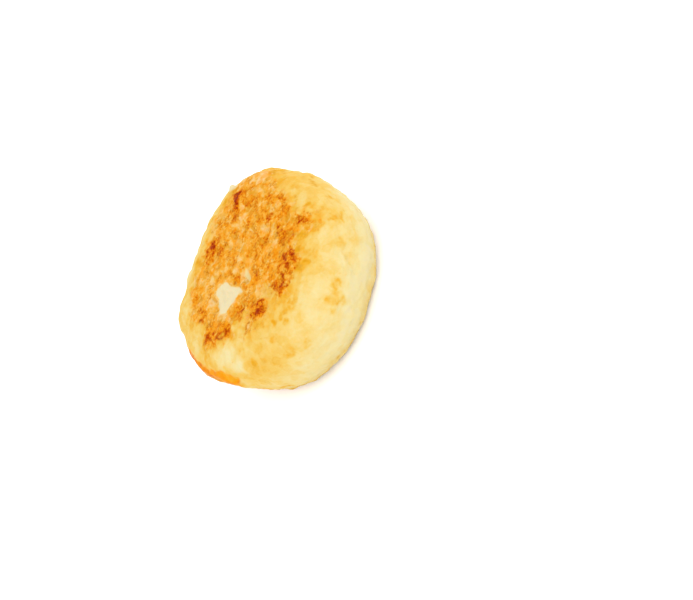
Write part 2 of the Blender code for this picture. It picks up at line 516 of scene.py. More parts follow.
@dataclass(frozen=True)
class PuckForm:
    """The puck's true form: a turned profile, uneven all round, with a crusty top and base.

    These are the solid's own sizes, so that the skin lies where the solid's surface does.
    """

    diameter: float = 65 * MM
    thickness: float = 25.5 * MM
    radius: float = diameter / 2
    top_shoulder_reach: float = 0.36 * radius
    top_shoulder_drop: float = 0.44 * thickness
    base_shoulder_reach: float = 0.22 * radius
    base_shoulder_rise: float = thickness - top_shoulder_drop
    shoulder_fullness: float = 2.2
    profile_steps: int = 60
    face_fall: float = 0.5 * MM

    # Lobes around, rise, and the azimuth of one lobe; then single bends: azimuth, half width, rise.
    outline_lobes: tuple = (
        (2, 0.20 * MM, 25), (3, 0.83 * MM, 34), (4, 0.74 * MM, 51), (5, 0.37 * MM, 45),
    )
    outline_bends: tuple = (
        (25, 20, 0.3 * MM), (60, 24, 0.5 * MM), (84, 15, 1.6 * MM), (121, 7, -1.1 * MM), (135, 11, 1.8 * MM),
        (236, 12, 0.6 * MM), (338, 14, -0.9 * MM), (357, 7, 0.4 * MM),
    )
    # Where only a part of the wall's height is pressed in: azimuth, half width, height, half height, rise.
    wall_bends: tuple = (
        (187, 12, 8 * MM, 9 * MM, -2.2 * MM),
        (260, 15, 0 * MM, 6 * MM, -1.3 * MM),
    )
    wall_ripples: tuple = (
        (24 * MM, 0.16 * MM, 3), (12 * MM, 0.12 * MM, 5), (6 * MM, 0.06 * MM, 8),
    )

    base_seat_radius: float = 5 * MM
    base_seat_edge: float = 3 * MM
    base_lip_height: float = 1.9 * MM
    base_lip_half_width: float = 1.4 * MM
    base_lip_rise: float = 0.45 * MM

    # How far up or down the surface faces where a face begins and where it is full.
    top_facing: tuple = (0.75, 0.98)
    base_facing: tuple = (0.80, 0.98)

    crust_radius: float = 21.5 * MM
    crust_edge: float = 1.5 * MM
    crust_rags: tuple = ((11 * MM, 1.5 * MM, 21), (5 * MM, 0.9 * MM, 22))
    crust_swells: tuple = ((9 * MM, 0.12 * MM, 11), (3.4 * MM, 0.06 * MM, 14))
    pit_wavelength: float = 5.2 * MM
    pit_depth: float = 0.40 * MM
    pit_levels: tuple = (0.8, 2.0)
    pit_seed: int = 12
    blister_wavelength: float = 4.2 * MM
    blister_rise: float = 0.28 * MM
    blister_levels: tuple = (0.7, 1.9)
    blister_seed: int = 13

    # The strength of an oval here is its depth or rise in millimetres.
    top_hollows: tuple[Oval, ...] = ovals(
        (-9.5, 1.2, 5.6, 3.6, 0.6, -18), (-7, -2.8, 2.6, 1.8, 0.5, -60), (-8.8, 5, 2.4, 1.8, 0.5, 20),
        (-2.6, -4.4, 1.9, 1.5, 0.45, 10), (-7.4, 10.2, 1.6, 1.3, 0.4), (10.6, -3.9, 1.7, 1.4, 0.35),
        (-3, -15.5, 3, 2.2, 0.3, 70),
    )
    top_scorches: tuple[Oval, ...] = ovals(
        (17.6, 17, 2.6, 1.8, 0.4, 60), (1, 17.4, 2.4, 1.6, 0.35), (-20.6, -1.6, 4.4, 2, 0.4, -50),
        (-9.4, -14.6, 3.6, 3.2, 0.4, 50), (0, -19.2, 3.4, 2.4, 0.4), (6.6, -18.6, 3.4, 2.8, 0.4, 20),
        (12, -12, 2.2, 3, 0.35), (17.8, -15.6, 1.6, 2.2, 0.35), (-17.2, 8, 2.8, 3, 0.3),
        (15.6, -2.8, 2.2, 1.4, 0.3),
    )
    base_hollows: tuple[Oval, ...] = ovals(
        (12, 9, 5, 3, 0.6, 40), (-14, -6, 3.6, 2.4, 0.5, 100), (-9, 15, 2.6, 2, 0.5, 10),
        (6, -15, 3.4, 2, 0.5, 160), (19, -7, 2, 1.6, 0.45),
    )
    oval_softness: float = 0.35
    rim_flakes: tuple[Oval, ...] = ovals(
        (19.2, 22.8, 1.3, 0.9, 1, 130),
    )

    side_azimuth: float = 165
    side_half_width: float = 35
    side_height: float = 6 * MM
    side_half_height: float = 15.5 * MM
    side_squareness: float = 3.5
    side_swell: float = 0.8 * MM
    side_step: float = 0.10
    side_fade: float = 0.35

    def half_profile(self) -> tuple[Array, Array]:
        """The profile from the middle of the top to the middle of the base.

        A shoulder is a quarter of a full oval: its reach times one less a power of a sine, and its
        drop times one less the same power of a cosine.

        Returns:
            The radius and the height of its points.
        """
        turn = np.linspace(0, math.pi / 2, self.profile_steps)
        power = 2 / self.shoulder_fullness
        face = np.linspace(0, self.radius - self.top_shoulder_reach, self.profile_steps, endpoint=False)
        base = np.linspace(self.radius - self.base_shoulder_reach, 0, self.profile_steps)[1:]
        top_radius = self.radius - self.top_shoulder_reach * (1 - np.sin(turn) ** power)
        top_height = self.thickness - self.top_shoulder_drop * (1 - np.cos(turn) ** power)
        base_radius = self.radius - self.base_shoulder_reach * (1 - np.cos(turn) ** power)
        base_height = self.base_shoulder_rise * (1 - np.sin(turn) ** power)
        radius = np.concatenate([face, top_radius, base_radius[1:], base])
        height = np.concatenate([np.full_like(face, self.thickness), top_height, base_height[1:], base * 0])
        return radius, height

    def along_profile(self, share: Array) -> tuple[Array, Array, Array, Array]:
        """The profile at a share of its turned area.

        The area of the ring that each stretch of the profile sweeps is its middle radius times its
        length, and the rings' running sum is the share.

        Args:
            share: 0 at the top's middle and 1 at the base's.

        Returns:
            The radius, the height, and how far the surface faces out and up.
        """
        radius, height = self.half_profile()
        step_out = np.diff(radius)
        step_up = np.diff(height)
        length = np.hypot(step_out, step_up)
        ring = (radius[1:] + radius[:-1]) / 2 * length
        swept = np.concatenate([[0], np.cumsum(ring)]) / ring.sum()
        middle = (swept[1:] + swept[:-1]) / 2
        out = np.interp(share, middle, -step_up / length)
        up = np.interp(share, middle, step_out / length)
        size = np.hypot(out, up)
        return np.interp(share, swept, radius), np.interp(share, swept, height), out / size, up / size

    def outline_at(self, azimuth: Array) -> Array:
        """How far the outline stands from round: one plus the lobes and bends over the radius.

        Args:
            azimuth: Angles round the puck's axis in radians.

        Returns:
            What the radius is multiplied by there.
        """
        rise = sum(h * np.cos(n * (azimuth - math.radians(at))) for n, h, at in self.outline_lobes)
        for middle, half_width, height in self.outline_bends:
            rise = rise + height * bell(apart_degrees(azimuth, middle) / half_width)
        return 1 + rise / self.radius

    def wall_bend(self, azimuth: Array, height: Array) -> Array:
        """How far the wall is bent out: a bell curve of azimuth and height for each bend.

        Args:
            azimuth: Angles round the puck's axis in radians.
            height: Heights in metres.

        Returns:
            The way out in metres, less than 0 where the wall is pressed in.
        """
        rise = np.zeros_like(height)
        for middle, half_width, middle_height, half_height, deep in self.wall_bends:
            across = apart_degrees(azimuth, middle) / half_width
            rise += deep * bell(np.hypot(across, (height - middle_height) / half_height))
        return rise

    def crust_share(self, points: Array) -> Array:
        """1 inside the round crust of a face and 0 outside it, with a ragged edge."""
        reach = np.hypot(points[:, 0], points[:, 1]) + ripple_sum(points, self.crust_rags) - self.crust_radius
        return 1 - smooth_step(reach, -self.crust_edge, self.crust_edge)

    def crust_relief(self, points: Array) -> Array:
        """The swells of a crust, with pits in the lows of one ripple and blisters on the highs of another.

        Args:
            points: Places in metres, one a row.

        Returns:
            The rise in metres.
        """
        pits = smooth_step(ripples(points, self.pit_wavelength, self.pit_seed), *self.pit_levels)
        blisters = ripples(points, self.blister_wavelength, self.blister_seed)
        blisters = smooth_step(blisters, *self.blister_levels)
        return ripple_sum(points, self.crust_swells) - self.pit_depth * pits + self.blister_rise * blisters

    def side_crust(self, azimuth: Array, height: Array) -> Array:
        """Where the browned side is, a rounded rectangle in azimuth and height.

        Its reach is the root of the summed powers of the two ways from its middle, over its half sizes.

        Args:
            azimuth: Angles round the puck's axis in radians.
            height: Heights in metres.

        Returns:
            1 inside it and 0 outside it.
        """
        across = apart_degrees(azimuth, self.side_azimuth) / self.side_half_width
        along = (height - self.side_height) / self.side_half_height
        reach = np.abs(across) ** self.side_squareness + np.abs(along) ** self.side_squareness
        softness = self.side_step + (self.side_fade - self.side_step) * smooth_step(-across, 0, 1)
        return 1 - smooth_step(reach ** (1 / self.side_squareness), 1 - softness, 1 + self.side_step / 3)

    def base_lip(self, height: Array) -> Array:
        """The rise of the lip around the foot of the wall, a bell curve of the height."""
        return self.base_lip_rise * bell((height - self.base_lip_height) / self.base_lip_half_width)

    def skin(self, azimuth: Array, share: Array) -> Skin:
        """The puck's skin: the profile turned, times the outline, plus the relief along its outward way.

        Args:
            azimuth: Angles round the puck's axis in radians.
            share: The share of the profile's turned area, 0 at the top's middle, 1 at the base's.

        Returns:
            The skin at each azimuth and share.
        """
        radius, height, out, up = self.along_profile(share)
        bent = (radius / self.radius) ** 2 * self.wall_bend(azimuth, height)
        radius = radius * self.outline_at(azimuth) + bent
        points = np.stack([radius * np.cos(azimuth), radius * np.sin(azimuth), height], axis=1)
        face = Places(Sheet.FACE, points[:, 0] / MM, points[:, 1] / MM)

        on_top = smooth_step(up, *self.top_facing)
        on_base = smooth_step(-up, *self.base_facing)
        on_wall = (1 - on_top) * (1 - on_base)
        crust = self.crust_share(points) * (on_top + on_base)
        relief = self.crust_relief(points)
        hollow = on_top * MM * strongest(self.top_hollows, face, self.oval_softness)
        hollow += on_base * MM * strongest(self.base_hollows, face, self.oval_softness)
        scorch = on_top * MM * strongest(self.top_scorches, face, self.oval_softness)
        flake = MM * strongest(self.rim_flakes, face, self.oval_softness)

        rise = on_wall * (ripple_sum(points, self.wall_ripples) + self.base_lip(height))
        rise += self.side_swell * self.side_crust(azimuth, height) * (1 - on_base)
        rise += on_top * (crust * relief + scorch * (crust + 1) / 2)
        rough = smooth_step(radius, self.base_seat_radius, self.base_seat_radius + self.base_seat_edge)
        rise += on_base * rough * np.minimum(crust * relief, 0)
        rise += (up > 0) * flake - hollow
        rise -= on_top * self.face_fall * (radius / self.radius) ** 2
        outward = np.stack([out * np.cos(azimuth), out * np.sin(azimuth), up], axis=1)
        points += rise[:, None] * outward
        points[:, 2] = np.maximum(points[:, 2], 0)
        return Skin(points, azimuth, outward, on_top, on_base, crust)


# ---------- Browning: where the pan coloured the dough ----------


@dataclass(frozen=True)
class Dough:
    """How golden the plain dough is: pale on the wall, golden on the shoulder near the crust, with partly
    painted shade that makes the lower-left wall more golden.
    """

    # Levels of gold, and the heights in millimetres over which one gives way to the next.
    wall_level: float = 0.24
    shoulder_level: float = 0.51
    shoulder_heights: tuple = (12.5, 21.0)
    base_shoulder_level: float = 0.46
    base_shoulder_heights: tuple = (1.0, 6.0)
    upper_heights: tuple = (15, 17)

    broad_clouds: Clouds = Clouds(14 * MM, 51, 2, 0.08)
    small_clouds: Clouds = Clouds(5.0 * MM, 52, 3, 0.07)
    blots: Blots = Blots(Clouds(3.6 * MM, 54), 0.02, 0.16)
    blot_rise: float = 0.10
    blot_average: float = 0.45

    # The golden spots are broken up by clouds. The marks are drawn aside by shares of the skin's shift,
    # which along the wall are radians for a millimetre.
    spot_share: float = 0.95
    spot_clouds: Clouds = Clouds(1.6 * MM, 53, 2, 0.8)
    golden_softness: float = 0.5
    pale_softness: float = 0.7
    face_shift: float = 0.7
    azimuth_shift: float = 0.020
    height_shift: float = 0.6

    # Broad washes: azimuth and half width in degrees, height and half height in millimetres, change.
    # The one round azimuth 224 is partly painted shade: it makes the lower-left wall, turned away from the
    # key light, more golden.
    tone_and_shade_washes: tuple = (
        (224, 40, 14, 11, 0.16), (200, 12, 7, 9, 0.26), (270, 32, 8, 5, -0.13), (308, 14, 15, 4, 0.18),
        (145, 40, 22, 6, 0.04), (20, 46, 22, 9, 0.14), (80, 30, 10, 8, 0.06),
    )
    # Golden spots on the shoulder, by x and y.
    golden: tuple[Oval, ...] = ovals(
        (24.2, 8.4, 1, 3.2, 0.26, -12), (22.9, 4.2, 0.9, 2, 0.2), (22.6, 16.6, 0.9, 1.7, 0.34),
        (26.6, 8.4, 1.2, 1.2, 0.34), (27.8, 10, 0.9, 1.6, 0.22, -20), (22.4, -13.8, 1, 1.1, 0.4),
        (22.3, -15.4, 0.9, 0.8, 0.18), (-5.2, 22.1, 2, 1.3, 0.34, 25), (-12.6, 18.6, 1.3, 1.8, 0.24, -30),
        (-22.3, -18.4, 1, 0.7, 0.36, -25), (-10.2, -22.5, 0.5, 0.9, 0.32), (-8.2, -24.1, 1.1, 0.6, 0.4, 10),
        (-8.7, -25.7, 1, 0.8, 0.36), (-3.9, -24.9, 1.2, 0.5, 0.28), (-6.6, -24.6, 1.2, 0.9, 0.2),
        (7.4, -24.4, 1.4, 1.1, 0.36), (6.2, -22.8, 1.6, 1.6, 0.3), (-1, -22.8, 1.8, 1, 0.2),
        (11.4, -22.4, 2, 1.7, 0.16), (-14.7, -23.6, 1, 0.6, 0.22), (15.6, -19.4, 2.6, 1, 0.26),
        (20.6, -20.6, 0.8, 2.2, 0.16, 35), (-28.1, 1.2, 1.8, 0.9, 0.22), (9.5, 24.9, 0.8, 0.8, 0.3),
        (15.8, 22.4, 2.4, 1, 0.16, -40), (-4.4, -26, 1.5, 1, 0.36), (-1.8, -26.2, 2.6, 0.9, 0.26, 10),
        (13.2, -17.8, 1.8, 1.4, 0.36), (9.9, -19.6, 1.4, 1, 0.34), (11, -24.4, 2.8, 1.5, 0.2, 30),
        (-25, 1.2, 1.6, 1, 0.4), (19.4, -21.4, 1.2, 1, 0.2),
    )
    # Golden spots on the wall, by azimuth and height.
    wall_golden: tuple[Oval, ...] = ovals(
        (280.6, 17.6, 1.6, 1.7, 0.4, 20), (277, 17.4, 0.9, 1.9, 0.24), (270.5, 16.4, 2.4, 1.2, 0.24, 25),
        (272, 18.8, 1.2, 0.8, 0.18), (274, 14.8, 1.5, 2.2, 0.32), (240, 19.4, 1.7, 1.3, 0.24, 30),
        (249, 17.5, 2, 1, 0.22, 20), (304, 17.8, 2.2, 1.6, 0.12), (314.5, 19.6, 1, 2.2, 0.2, -30),
        (317, 17.9, 2.4, 0.6, 0.24), (295, 15.4, 1.6, 1.6, 0.1), (330, 19, 1.2, 0.7, 0.24),
        (216, 7.6, 2.6, 0.8, 0.44),
    )
    pale: tuple[Oval, ...] = ovals(
        (-24, -8, 4.4, 2.4, 0.3, -60), (-25.4, -12.6, 2.6, 1.8, 0.34, -60), (-3.4, -27.6, 8, 1.4, 0.14, 5),
        (0.8, -29.4, 6.6, 2.6, 0.16), (11, -28.2, 3.4, 1.8, 0.15, 20), (18.2, -26, 2, 1.6, 0.14, 30),
        (-4.6, -31.4, 2.6, 2.2, 0.24), (-11.6, -29.8, 2.6, 1.6, 0.2, 15), (-18.6, -12.6, 2.2, 1.6, 0.2),
        (-19.5, 17, 3.6, 3, 0.14, 40), (2.5, 24, 3.6, 1.6, 0.14), (-9, 24.5, 3.4, 1.6, 0.16),
        (17.6, -22.6, 4, 1.2, 0.14, 20),
    )

    def tone(self, skin: Skin, shift: tuple[Array, Array]) -> Array:
        """How golden the dough is.

        Args:
            skin: The skin.
            shift: How far the marks are drawn aside along x and y, in millimetres.

        Returns:
            One number for each point, 0 on the palest curd and 1 on deep gold.
        """
        points = skin.points
        height = skin.height
        tone = blend(self.wall_level, self.shoulder_level, smooth_step(height, *self.shoulder_heights))
        tone = blend(self.base_shoulder_level, tone, smooth_step(height, *self.base_shoulder_heights))
        # Broad washes of gold; the one on the lower-left wall is partly painted shade.
        for middle, half_width, middle_height, half_height, change in self.tone_and_shade_washes:
            across = apart_degrees(skin.azimuth, middle) / half_width
            tone += change * bell(np.hypot(across, (height - middle_height) / half_height))
        tone += self.broad_clouds.at(points) + self.small_clouds.at(points)
        tone += self.blot_rise * (self.blots.at(points) - self.blot_average)

        broken = self.spot_share + self.spot_clouds.at(points)
        upper = smooth_step(height, *self.upper_heights)
        face = skin.face(shift, self.face_shift)
        tone += upper * broken * strongest(self.golden, face, self.golden_softness)
        tone -= upper * strongest(self.pale, face, self.pale_softness)
        azimuth = skin.azimuth + self.azimuth_shift * shift[0]
        wall = Places(Sheet.WALL, azimuth, height + self.height_shift * shift[1])
        return tone + skin.on_wall * broken * strongest(self.wall_golden, wall, self.golden_softness)


@dataclass(frozen=True)
class Crust:
    """Where the faces are fried, and how brown they are there."""

    # The crust is golden brown on the far half and lighter on the near one, by x.
    far_level: float = 0.42
    near_level: float = 0.38
    near_reach: tuple = (-13.0, 2.0)
    broad_clouds: Clouds = Clouds(6 * MM, 61, 2, 0.08)
    small_clouds: Clouds = Clouds(2.2 * MM, 62, 3, 0.12)
    curls: Curls = Curls(Clouds(2.4 * MM, 63), 0.16)
    curl_places: Blots = Blots(Clouds(5 * MM, 64), -0.1, 0.35)
    curl_rise: float = 0.06
    blush: Blots = Blots(Clouds(2.8 * MM, 70), 0.28, 0.50, 0.6)
    peach_tone: float = 0.06
    deep_share: float = 0.84
    deep_clouds: Clouds = Clouds(1.2 * MM, 65, 2, 0.30)
    mark_softness: float = 0.5
    # The base's marks: how many, their reach, half sizes, strengths and seed.
    base_deep: tuple = (60, 22, (0.8, 2.6), (0.12, 0.5), 301)
    base_peach: tuple = (34, 21, (0.8, 2.2), (0.4, 0.9), 302)

    # The crust's ragged outline on the top.
    outline: Patch = Patch(
        (
            (18.4, 22.1), (15.3, 20.8), (9.6, 23.4), (5.3, 21.8), (0.7, 20.2), (-2.3, 21.2), (-6.1, 19.4),
            (-7.9, 20.2), (-12.1, 18.6), (-17.2, 16.1), (-20.4, 13.8), (-20.3, 8.4), (-19.6, 5.6),
            (-21.8, 4.4), (-24.5, 2.8), (-25, 0.2), (-21.6, -4.6), (-19.1, -7.9), (-16.2, -7.6),
            (-15.4, -7.4), (-14, -9.2), (-10.4, -9.6), (-12.4, -11.6), (-17.4, -13.6), (-12.8, -16.2),
            (-10.1, -18.4), (-6.7, -18.4), (-4.9, -14.4), (-2.3, -12), (-3.1, -16.7), (-3.4, -20.8),
            (-1.6, -22.5), (0.6, -22.4), (2, -21.8), (3.5, -21.6), (6.4, -23), (8.6, -21), (10.3, -18.6),
            (13.2, -15.9), (15.8, -17.8), (17.6, -20.2), (19.7, -20), (20.9, -17.6), (20.6, -14.6),
            (19.2, -10.8), (21.4, -7.4), (23.6, -3.4), (23.6, 0.5), (25, 4.5), (26.6, 7.7), (28.2, 11.9),
            (27.4, 17.6), (24.4, 20.6), (21.2, 23.2),
        )
    )
    edge: float = 1.1
    rags: Clouds = Clouds(1.9 * MM, 31, 3, 1.8)
    # The crust is lighter near the far rim, by x, and outside its own edge.
    rim_reach: tuple = (20.0, 26.0)
    rim_change: float = -0.16
    outside_change: float = -0.16
    # How golden the dough is just outside the crust, and how far that reaches.
    halo: float = 0.24
    halo_reach: float = 2.8
    halo_share: float = 0.85
    halo_clouds: Clouds = Clouds(2.6 * MM, 68, 2, 0.8)

    # Where no pan touched: curd dough shows.
    bare_patch: Patch = Patch(
        (
            (-7.4, 6.4), (-6, 4.1), (-6.6, 1.7), (-5.7, -1.6), (-6.4, -3.6), (-9.3, -2.6), (-11.9, -1.7),
            (-14.2, -0.8), (-15.2, 0.8), (-14, 2.8), (-13.2, 4.6), (-11.2, 4.5), (-10.9, 5.9), (-9.8, 7),
            (-8.4, 6.8),
        )
    )
    bare_edge: float = 0.35
    bare_shift: float = 0.35
    bare_tone: float = 0.02
    spot_softness: float = 0.16
    hollow_softness: float = 0.25
    bare_spots: tuple[Oval, ...] = ovals(
        (19.6, 22.9, 1.7, 1.3, 0.95, 130), (-1.6, -3.2, 2.1, 0.8, 0.7, 50), (-7.2, 11.6, 0.9, 0.8, 0.45),
    )
    # Pale peach patches inside the crust.
    peach: tuple[Oval, ...] = ovals(
        (-9.4, 1.8, 4.4, 6.2, 0.8, -5), (-14.4, 0.6, 2.2, 2.2, 0.9, 20), (-13.6, 7, 1.5, 1, 0.9),
        (-7.2, 11.6, 1.5, 1.3, 0.9), (-4.5, 9.6, 0.5, 2, 0.5, 5), (-3.2, 7.4, 0.9, 1, 0.6),
        (-1.4, 2.3, 1.5, 1.2, 0.8), (-1.2, -2.9, 1.6, 2, 1, 5), (2.2, -1.6, 1, 1.8, 0.5),
        (3.6, 10.8, 2, 0.7, 0.55), (9.3, 11.4, 0.7, 2.6, 0.7, -5), (12.3, 9.7, 1.8, 1.2, 0.85),
        (15.2, 12.7, 0.9, 1.6, 0.85), (8, 6.8, 2, 0.8, 0.45, 20), (5, 3, 1.2, 2, 0.35),
        (12.3, -1.7, 1, 2.5, 0.9), (12, -5.9, 2.6, 0.8, 0.6), (19.6, -2.4, 1.9, 1, 0.75, 50),
        (18.4, 4.4, 0.9, 1.6, 0.4), (5.4, -6.4, 3.8, 0.7, 0.65, -5), (9.5, -9.1, 1.1, 1.6, 0.95),
        (15.4, -12, 0.6, 1, 0.6), (16.4, -17.2, 0.6, 0.6, 0.5), (-14.9, -2.2, 1, 2, 0.8),
        (-4.4, -13.2, 1.9, 3.6, 0.8, -10), (-12.6, -10.6, 2.6, 1, 0.75, -10), (-14.4, -14, 0.7, 0.9, 0.6),
        (0.4, -11.8, 1.4, 1.1, 0.6), (3, -14, 1.6, 0.9, 0.45), (8.7, -14.8, 1.3, 1, 0.5),
        (11.4, -17.4, 1.2, 1, 0.25), (-18.3, 13.3, 0.7, 1.6, 0.7), (21.3, 7.2, 0.8, 2, 0.6),
        (-2.2, 15.1, 1.3, 0.6, 0.85), (5.8, 19.4, 1.6, 2.2, 0.5), (11.4, 21.6, 1.2, 2.8, 0.6),
        (8, 17, 1, 1.8, 0.35), (-7.2, 19.2, 0.5, 0.9, 0.6), (-11.6, 12.8, 1.6, 0.8, 0.35, 30),
        (14.6, 9.6, 1, 0.7, 0.4), (20.3, 18.2, 1.2, 1.2, 0.8), (-18.6, 4.3, 1.1, 1, 0.4),
        (-15.4, 17, 1.5, 1.1, 0.7, 20), (15.4, 0.8, 1.2, 1.1, 0.6), (11.1, 15.6, 1, 0.9, 0.6),
        (-8.2, -6.6, 1, 1, 0.6), (0.3, 1.8, 1.3, 1.2, 0.9), (-6.6, 17, 1.2, 1.1, 0.6),
        (-5.9, 10.2, 1.2, 1.1, 0.6), (16, -7.8, 1.2, 1.2, 0.5), (-9.4, 19.4, 1.7, 1.2, 0.9),
        (5.8, 7, 1.5, 1.3, 0.7), (-3.4, -4, 1.5, 1.1, 0.8, 50), (26.6, 12.2, 1.2, 1.9, 0.6),
        (8.4, 22.6, 2.2, 1.3, 0.7), (3.2, 21, 1.8, 1, 0.6), (10.8, 20, 1.5, 1.1, 0.6),
    )
    # Deeper browned places, with what each adds.
    deep: tuple[Oval, ...] = ovals(
        (1.5, 17.6, 1.8, 1.8, 0.86), (-0.2, 17, 1.5, 1.2, 0.52), (-1.7, 16.6, 1.4, 1.1, 0.52),
        (-0.9, 19.1, 1.5, 0.8, 0.62, 20), (4, 16.4, 1.2, 1.2, 0.24), (-4.2, 17.2, 1.4, 0.9, 0.26),
        (-4.1, 15.9, 1.2, 1, 0.3), (1.3, 12.7, 1.7, 1.8, 0.18), (-13.4, 15.5, 2.1, 1.1, 0.16, 10),
        (-13.6, 15.6, 1.4, 1, 0.4), (-16.3, 9.2, 0.8, 2.8, 0.22, 8), (-19.2, 8.2, 1.3, 0.8, 0.32, -10),
        (-18, 7.4, 1.8, 1.1, 0.18, -20), (-13, 12.1, 0.8, 0.9, 0.26), (-3.8, 5, 1.2, 1.4, 0.2),
        (-4.7, 1.2, 1.3, 1.2, 0.3), (-2.6, 1.7, 0.6, 0.6, 0.28), (-20, 11.2, 1.3, 2, 0.14),
        (17.8, 17.3, 2, 1.7, 0.86, 30), (16.4, 15.9, 2, 1.3, 0.54, 30), (14.6, 14.9, 2.8, 1, 0.38, 25),
        (11.9, 13.8, 1.3, 0.8, 0.14, 30), (18.4, 14.6, 1.6, 1.4, 0.1), (17, 11.9, 0.9, 1.6, 0.14, 10),
        (4.6, -15.8, 1.3, 1, 0.32), (12, 13, 1.8, 1.5, 0.16), (8.4, 10.3, 0.8, 2, 0.14),
        (12.2, 6.4, 1.9, 0.9, 0.24), (18.2, 8, 1.6, 2, 0.22, 10), (15.7, 7.2, 1.3, 1.5, 0.12),
        (21, 2.6, 1.1, 1.9, 0.26, 5), (20.8, -0.6, 0.7, 1.5, 0.16), (13.6, 1.9, 1.2, 1, 0.14),
        (16.6, 1.7, 0.7, 1, 0.16), (1.8, 7.9, 1.7, 1.7, 0.12), (0.7, 4.2, 0.9, 0.9, 0.16),
        (10.5, 17.6, 1, 1, 0.16), (4.4, 16.2, 0.6, 1.6, 0.12, 10), (14.8, -2.2, 0.6, 1.5, 0.38),
        (16.4, -2.2, 1, 1, 0.32), (9.6, -3.9, 1.2, 1.1, 0.26), (7, -4.3, 1, 0.6, 0.18),
        (3, -4.8, 2.8, 0.7, 0.12), (6.6, -0.8, 2.2, 1, 0.1), (21.6, -2.3, 1.3, 1.4, 0.5),
        (20.4, -5.2, 1.3, 1.8, 0.18), (18.4, -7.4, 1.5, 1.1, 0.14, 20), (15.6, -5.8, 1.3, 0.9, 0.12),
        (12.6, -9.5, 1.2, 1.7, 0.46), (11.9, -12.2, 2.1, 2.4, 0.24), (13.6, -7.8, 0.9, 0.8, 0.2, -40),
        (18.4, -15.6, 1.5, 2.8, 0.26, 8), (17.8, -15.4, 0.9, 1.2, 0.3), (19.8, -17.8, 1, 1.6, 0.34),
        (-1.2, -18.7, 2.1, 2.9, 0.42, 8), (0.9, -19.2, 1.9, 1.7, 0.4), (3.9, -18.6, 2, 2.4, 0.38, -15),
        (6.4, -17.4, 2.2, 2.2, 0.34), (9.2, -18.3, 1.5, 1.5, 0.54), (7.4, -19.8, 1.8, 1.4, 0.42),
        (6.4, -21.2, 1.9, 1.6, 0.34), (0.2, -14.2, 1.1, 0.9, 0.2), (-9.2, -14.8, 2.6, 2.5, 0.44, 40),
        (-8.2, -11.4, 1.4, 2.4, 0.32), (-9.7, -15.5, 1.4, 1.3, 0.76), (-10.2, -12.5, 1.3, 1.2, 0.36),
        (-6.6, -14.8, 1.1, 1, 0.58), (-8.2, -14.2, 1.5, 1.4, 0.56), (-12, -15.2, 1.2, 1.4, 0.2),
        (-8.8, -17, 1.1, 1, 0.36), (-21.8, 0.9, 2.4, 1.9, 0.44, -60), (-21.9, 0.8, 1.5, 1.3, 0.54),
        (-20.9, 0.2, 1.1, 1.1, 0.5), (-20.8, -4, 2.5, 1.9, 0.36, -45), (-18.9, -6, 1.6, 1.3, 0.44, -45),
        (-22.6, -1.8, 1.6, 1.3, 0.4), (-17.8, -5.6, 1.8, 1.5, 0.46, -45), (-24.8, 2.3, 2, 0.9, 0.36, -8),
        (-18.3, -2.4, 1.2, 1.8, 0.2), (-17.2, 1, 1, 1, 0.14), (-13.4, -6.6, 1.3, 1.3, 0.24, -40),
        (-10.9, -7.6, 2.2, 0.8, 0.26), (-11.2, -4.6, 1.8, 0.9, 0.16), (-1, -7.8, 1.6, 1.3, 0.16),
        (3.2, -8.2, 1.4, 0.8, 0.14), (2.1, -9.9, 1.4, 1.5, 0.34), (9.6, -1.1, 1.5, 1.6, 0.26),
        (7.4, -2.1, 1.9, 1.1, 0.26, 25), (3.4, -4.2, 1.5, 1, 0.24), (-12.5, -8.2, 1.7, 1.4, 0.46),
        (-14.6, -7.6, 1.3, 1.1, 0.36), (-6.8, -17.4, 1.2, 1, 0.24), (4.8, 14, 1.2, 1.2, 0.18),
        (3, 11.4, 1.1, 1.2, 0.18), (10.6, 17.4, 1.2, 1.1, 0.3), (-3.2, 9.2, 1.3, 1.1, 0.22),
        (3.9, -0.7, 1.2, 1.1, 0.24), (19.6, -18, 1.3, 1.2, 0.4), (9.8, -5.8, 1.1, 1.1, 0.18),
        (4.8, -8.4, 1.2, 1, 0.18), (-10.1, -6, 1.3, 1.1, 0.22), (-3.9, 0.3, 1.4, 1.4, 0.34),
        (-2.2, 0.7, 1.2, 1, 0.24), (-4.3, 3.3, 1.3, 1.3, 0.24), (-2.7, 10.6, 1.3, 1.3, 0.24),
        (-0.4, -20.6, 1.6, 1.3, 0.66), (-2.1, -20.6, 1.6, 1.3, 0.48), (3.6, -20.6, 1.8, 1.2, 0.44),
        (24, 7.2, 1.2, 1.5, 0.3),
    )

    def inside_top(self, skin: Skin) -> Array:
        """How far inside the top crust's ragged outline each point is, in millimetres."""
        return self.outline.within(skin.face()) + self.rags.at(skin.points)

    def bare_share(self, skin: Skin, shift: tuple[Array, Array]) -> Array:
        """Where the top's dough shows through the crust.

        Args:
            skin: The skin.
            shift: How far the marks are drawn aside along x and y, in millimetres.

        Returns:
            1 on bare dough and 0 elsewhere.
        """
        face = skin.face(shift, self.bare_shift)
        patch = smooth_step(self.bare_patch.within(face), -self.bare_edge, self.bare_edge)
        return np.maximum(patch, strongest(self.bare_spots, face, self.spot_softness))

    def tone(self, points: Array, face: Places, top: Array) -> Array:
        """How brown the crusts are: clouds, with peach patches and deeper browned places.

        Args:
            points: The skin's points.
            face: The same by x and y, drawn aside.
            top: 1 on the upper half of the puck and 0 on the lower one.

        Returns:
            One number for each point, 0 on a peach blush and 1 where it is scorched.
        """
        base_deep = strongest(scattered(*self.base_deep), face, self.mark_softness)
        base_peach = strongest(scattered(*self.base_peach), face, self.mark_softness)
        deep = top * strongest(self.deep, face, self.mark_softness) + (1 - top) * base_deep
        peach = top * strongest(self.peach, face, self.mark_softness) + (1 - top) * base_peach

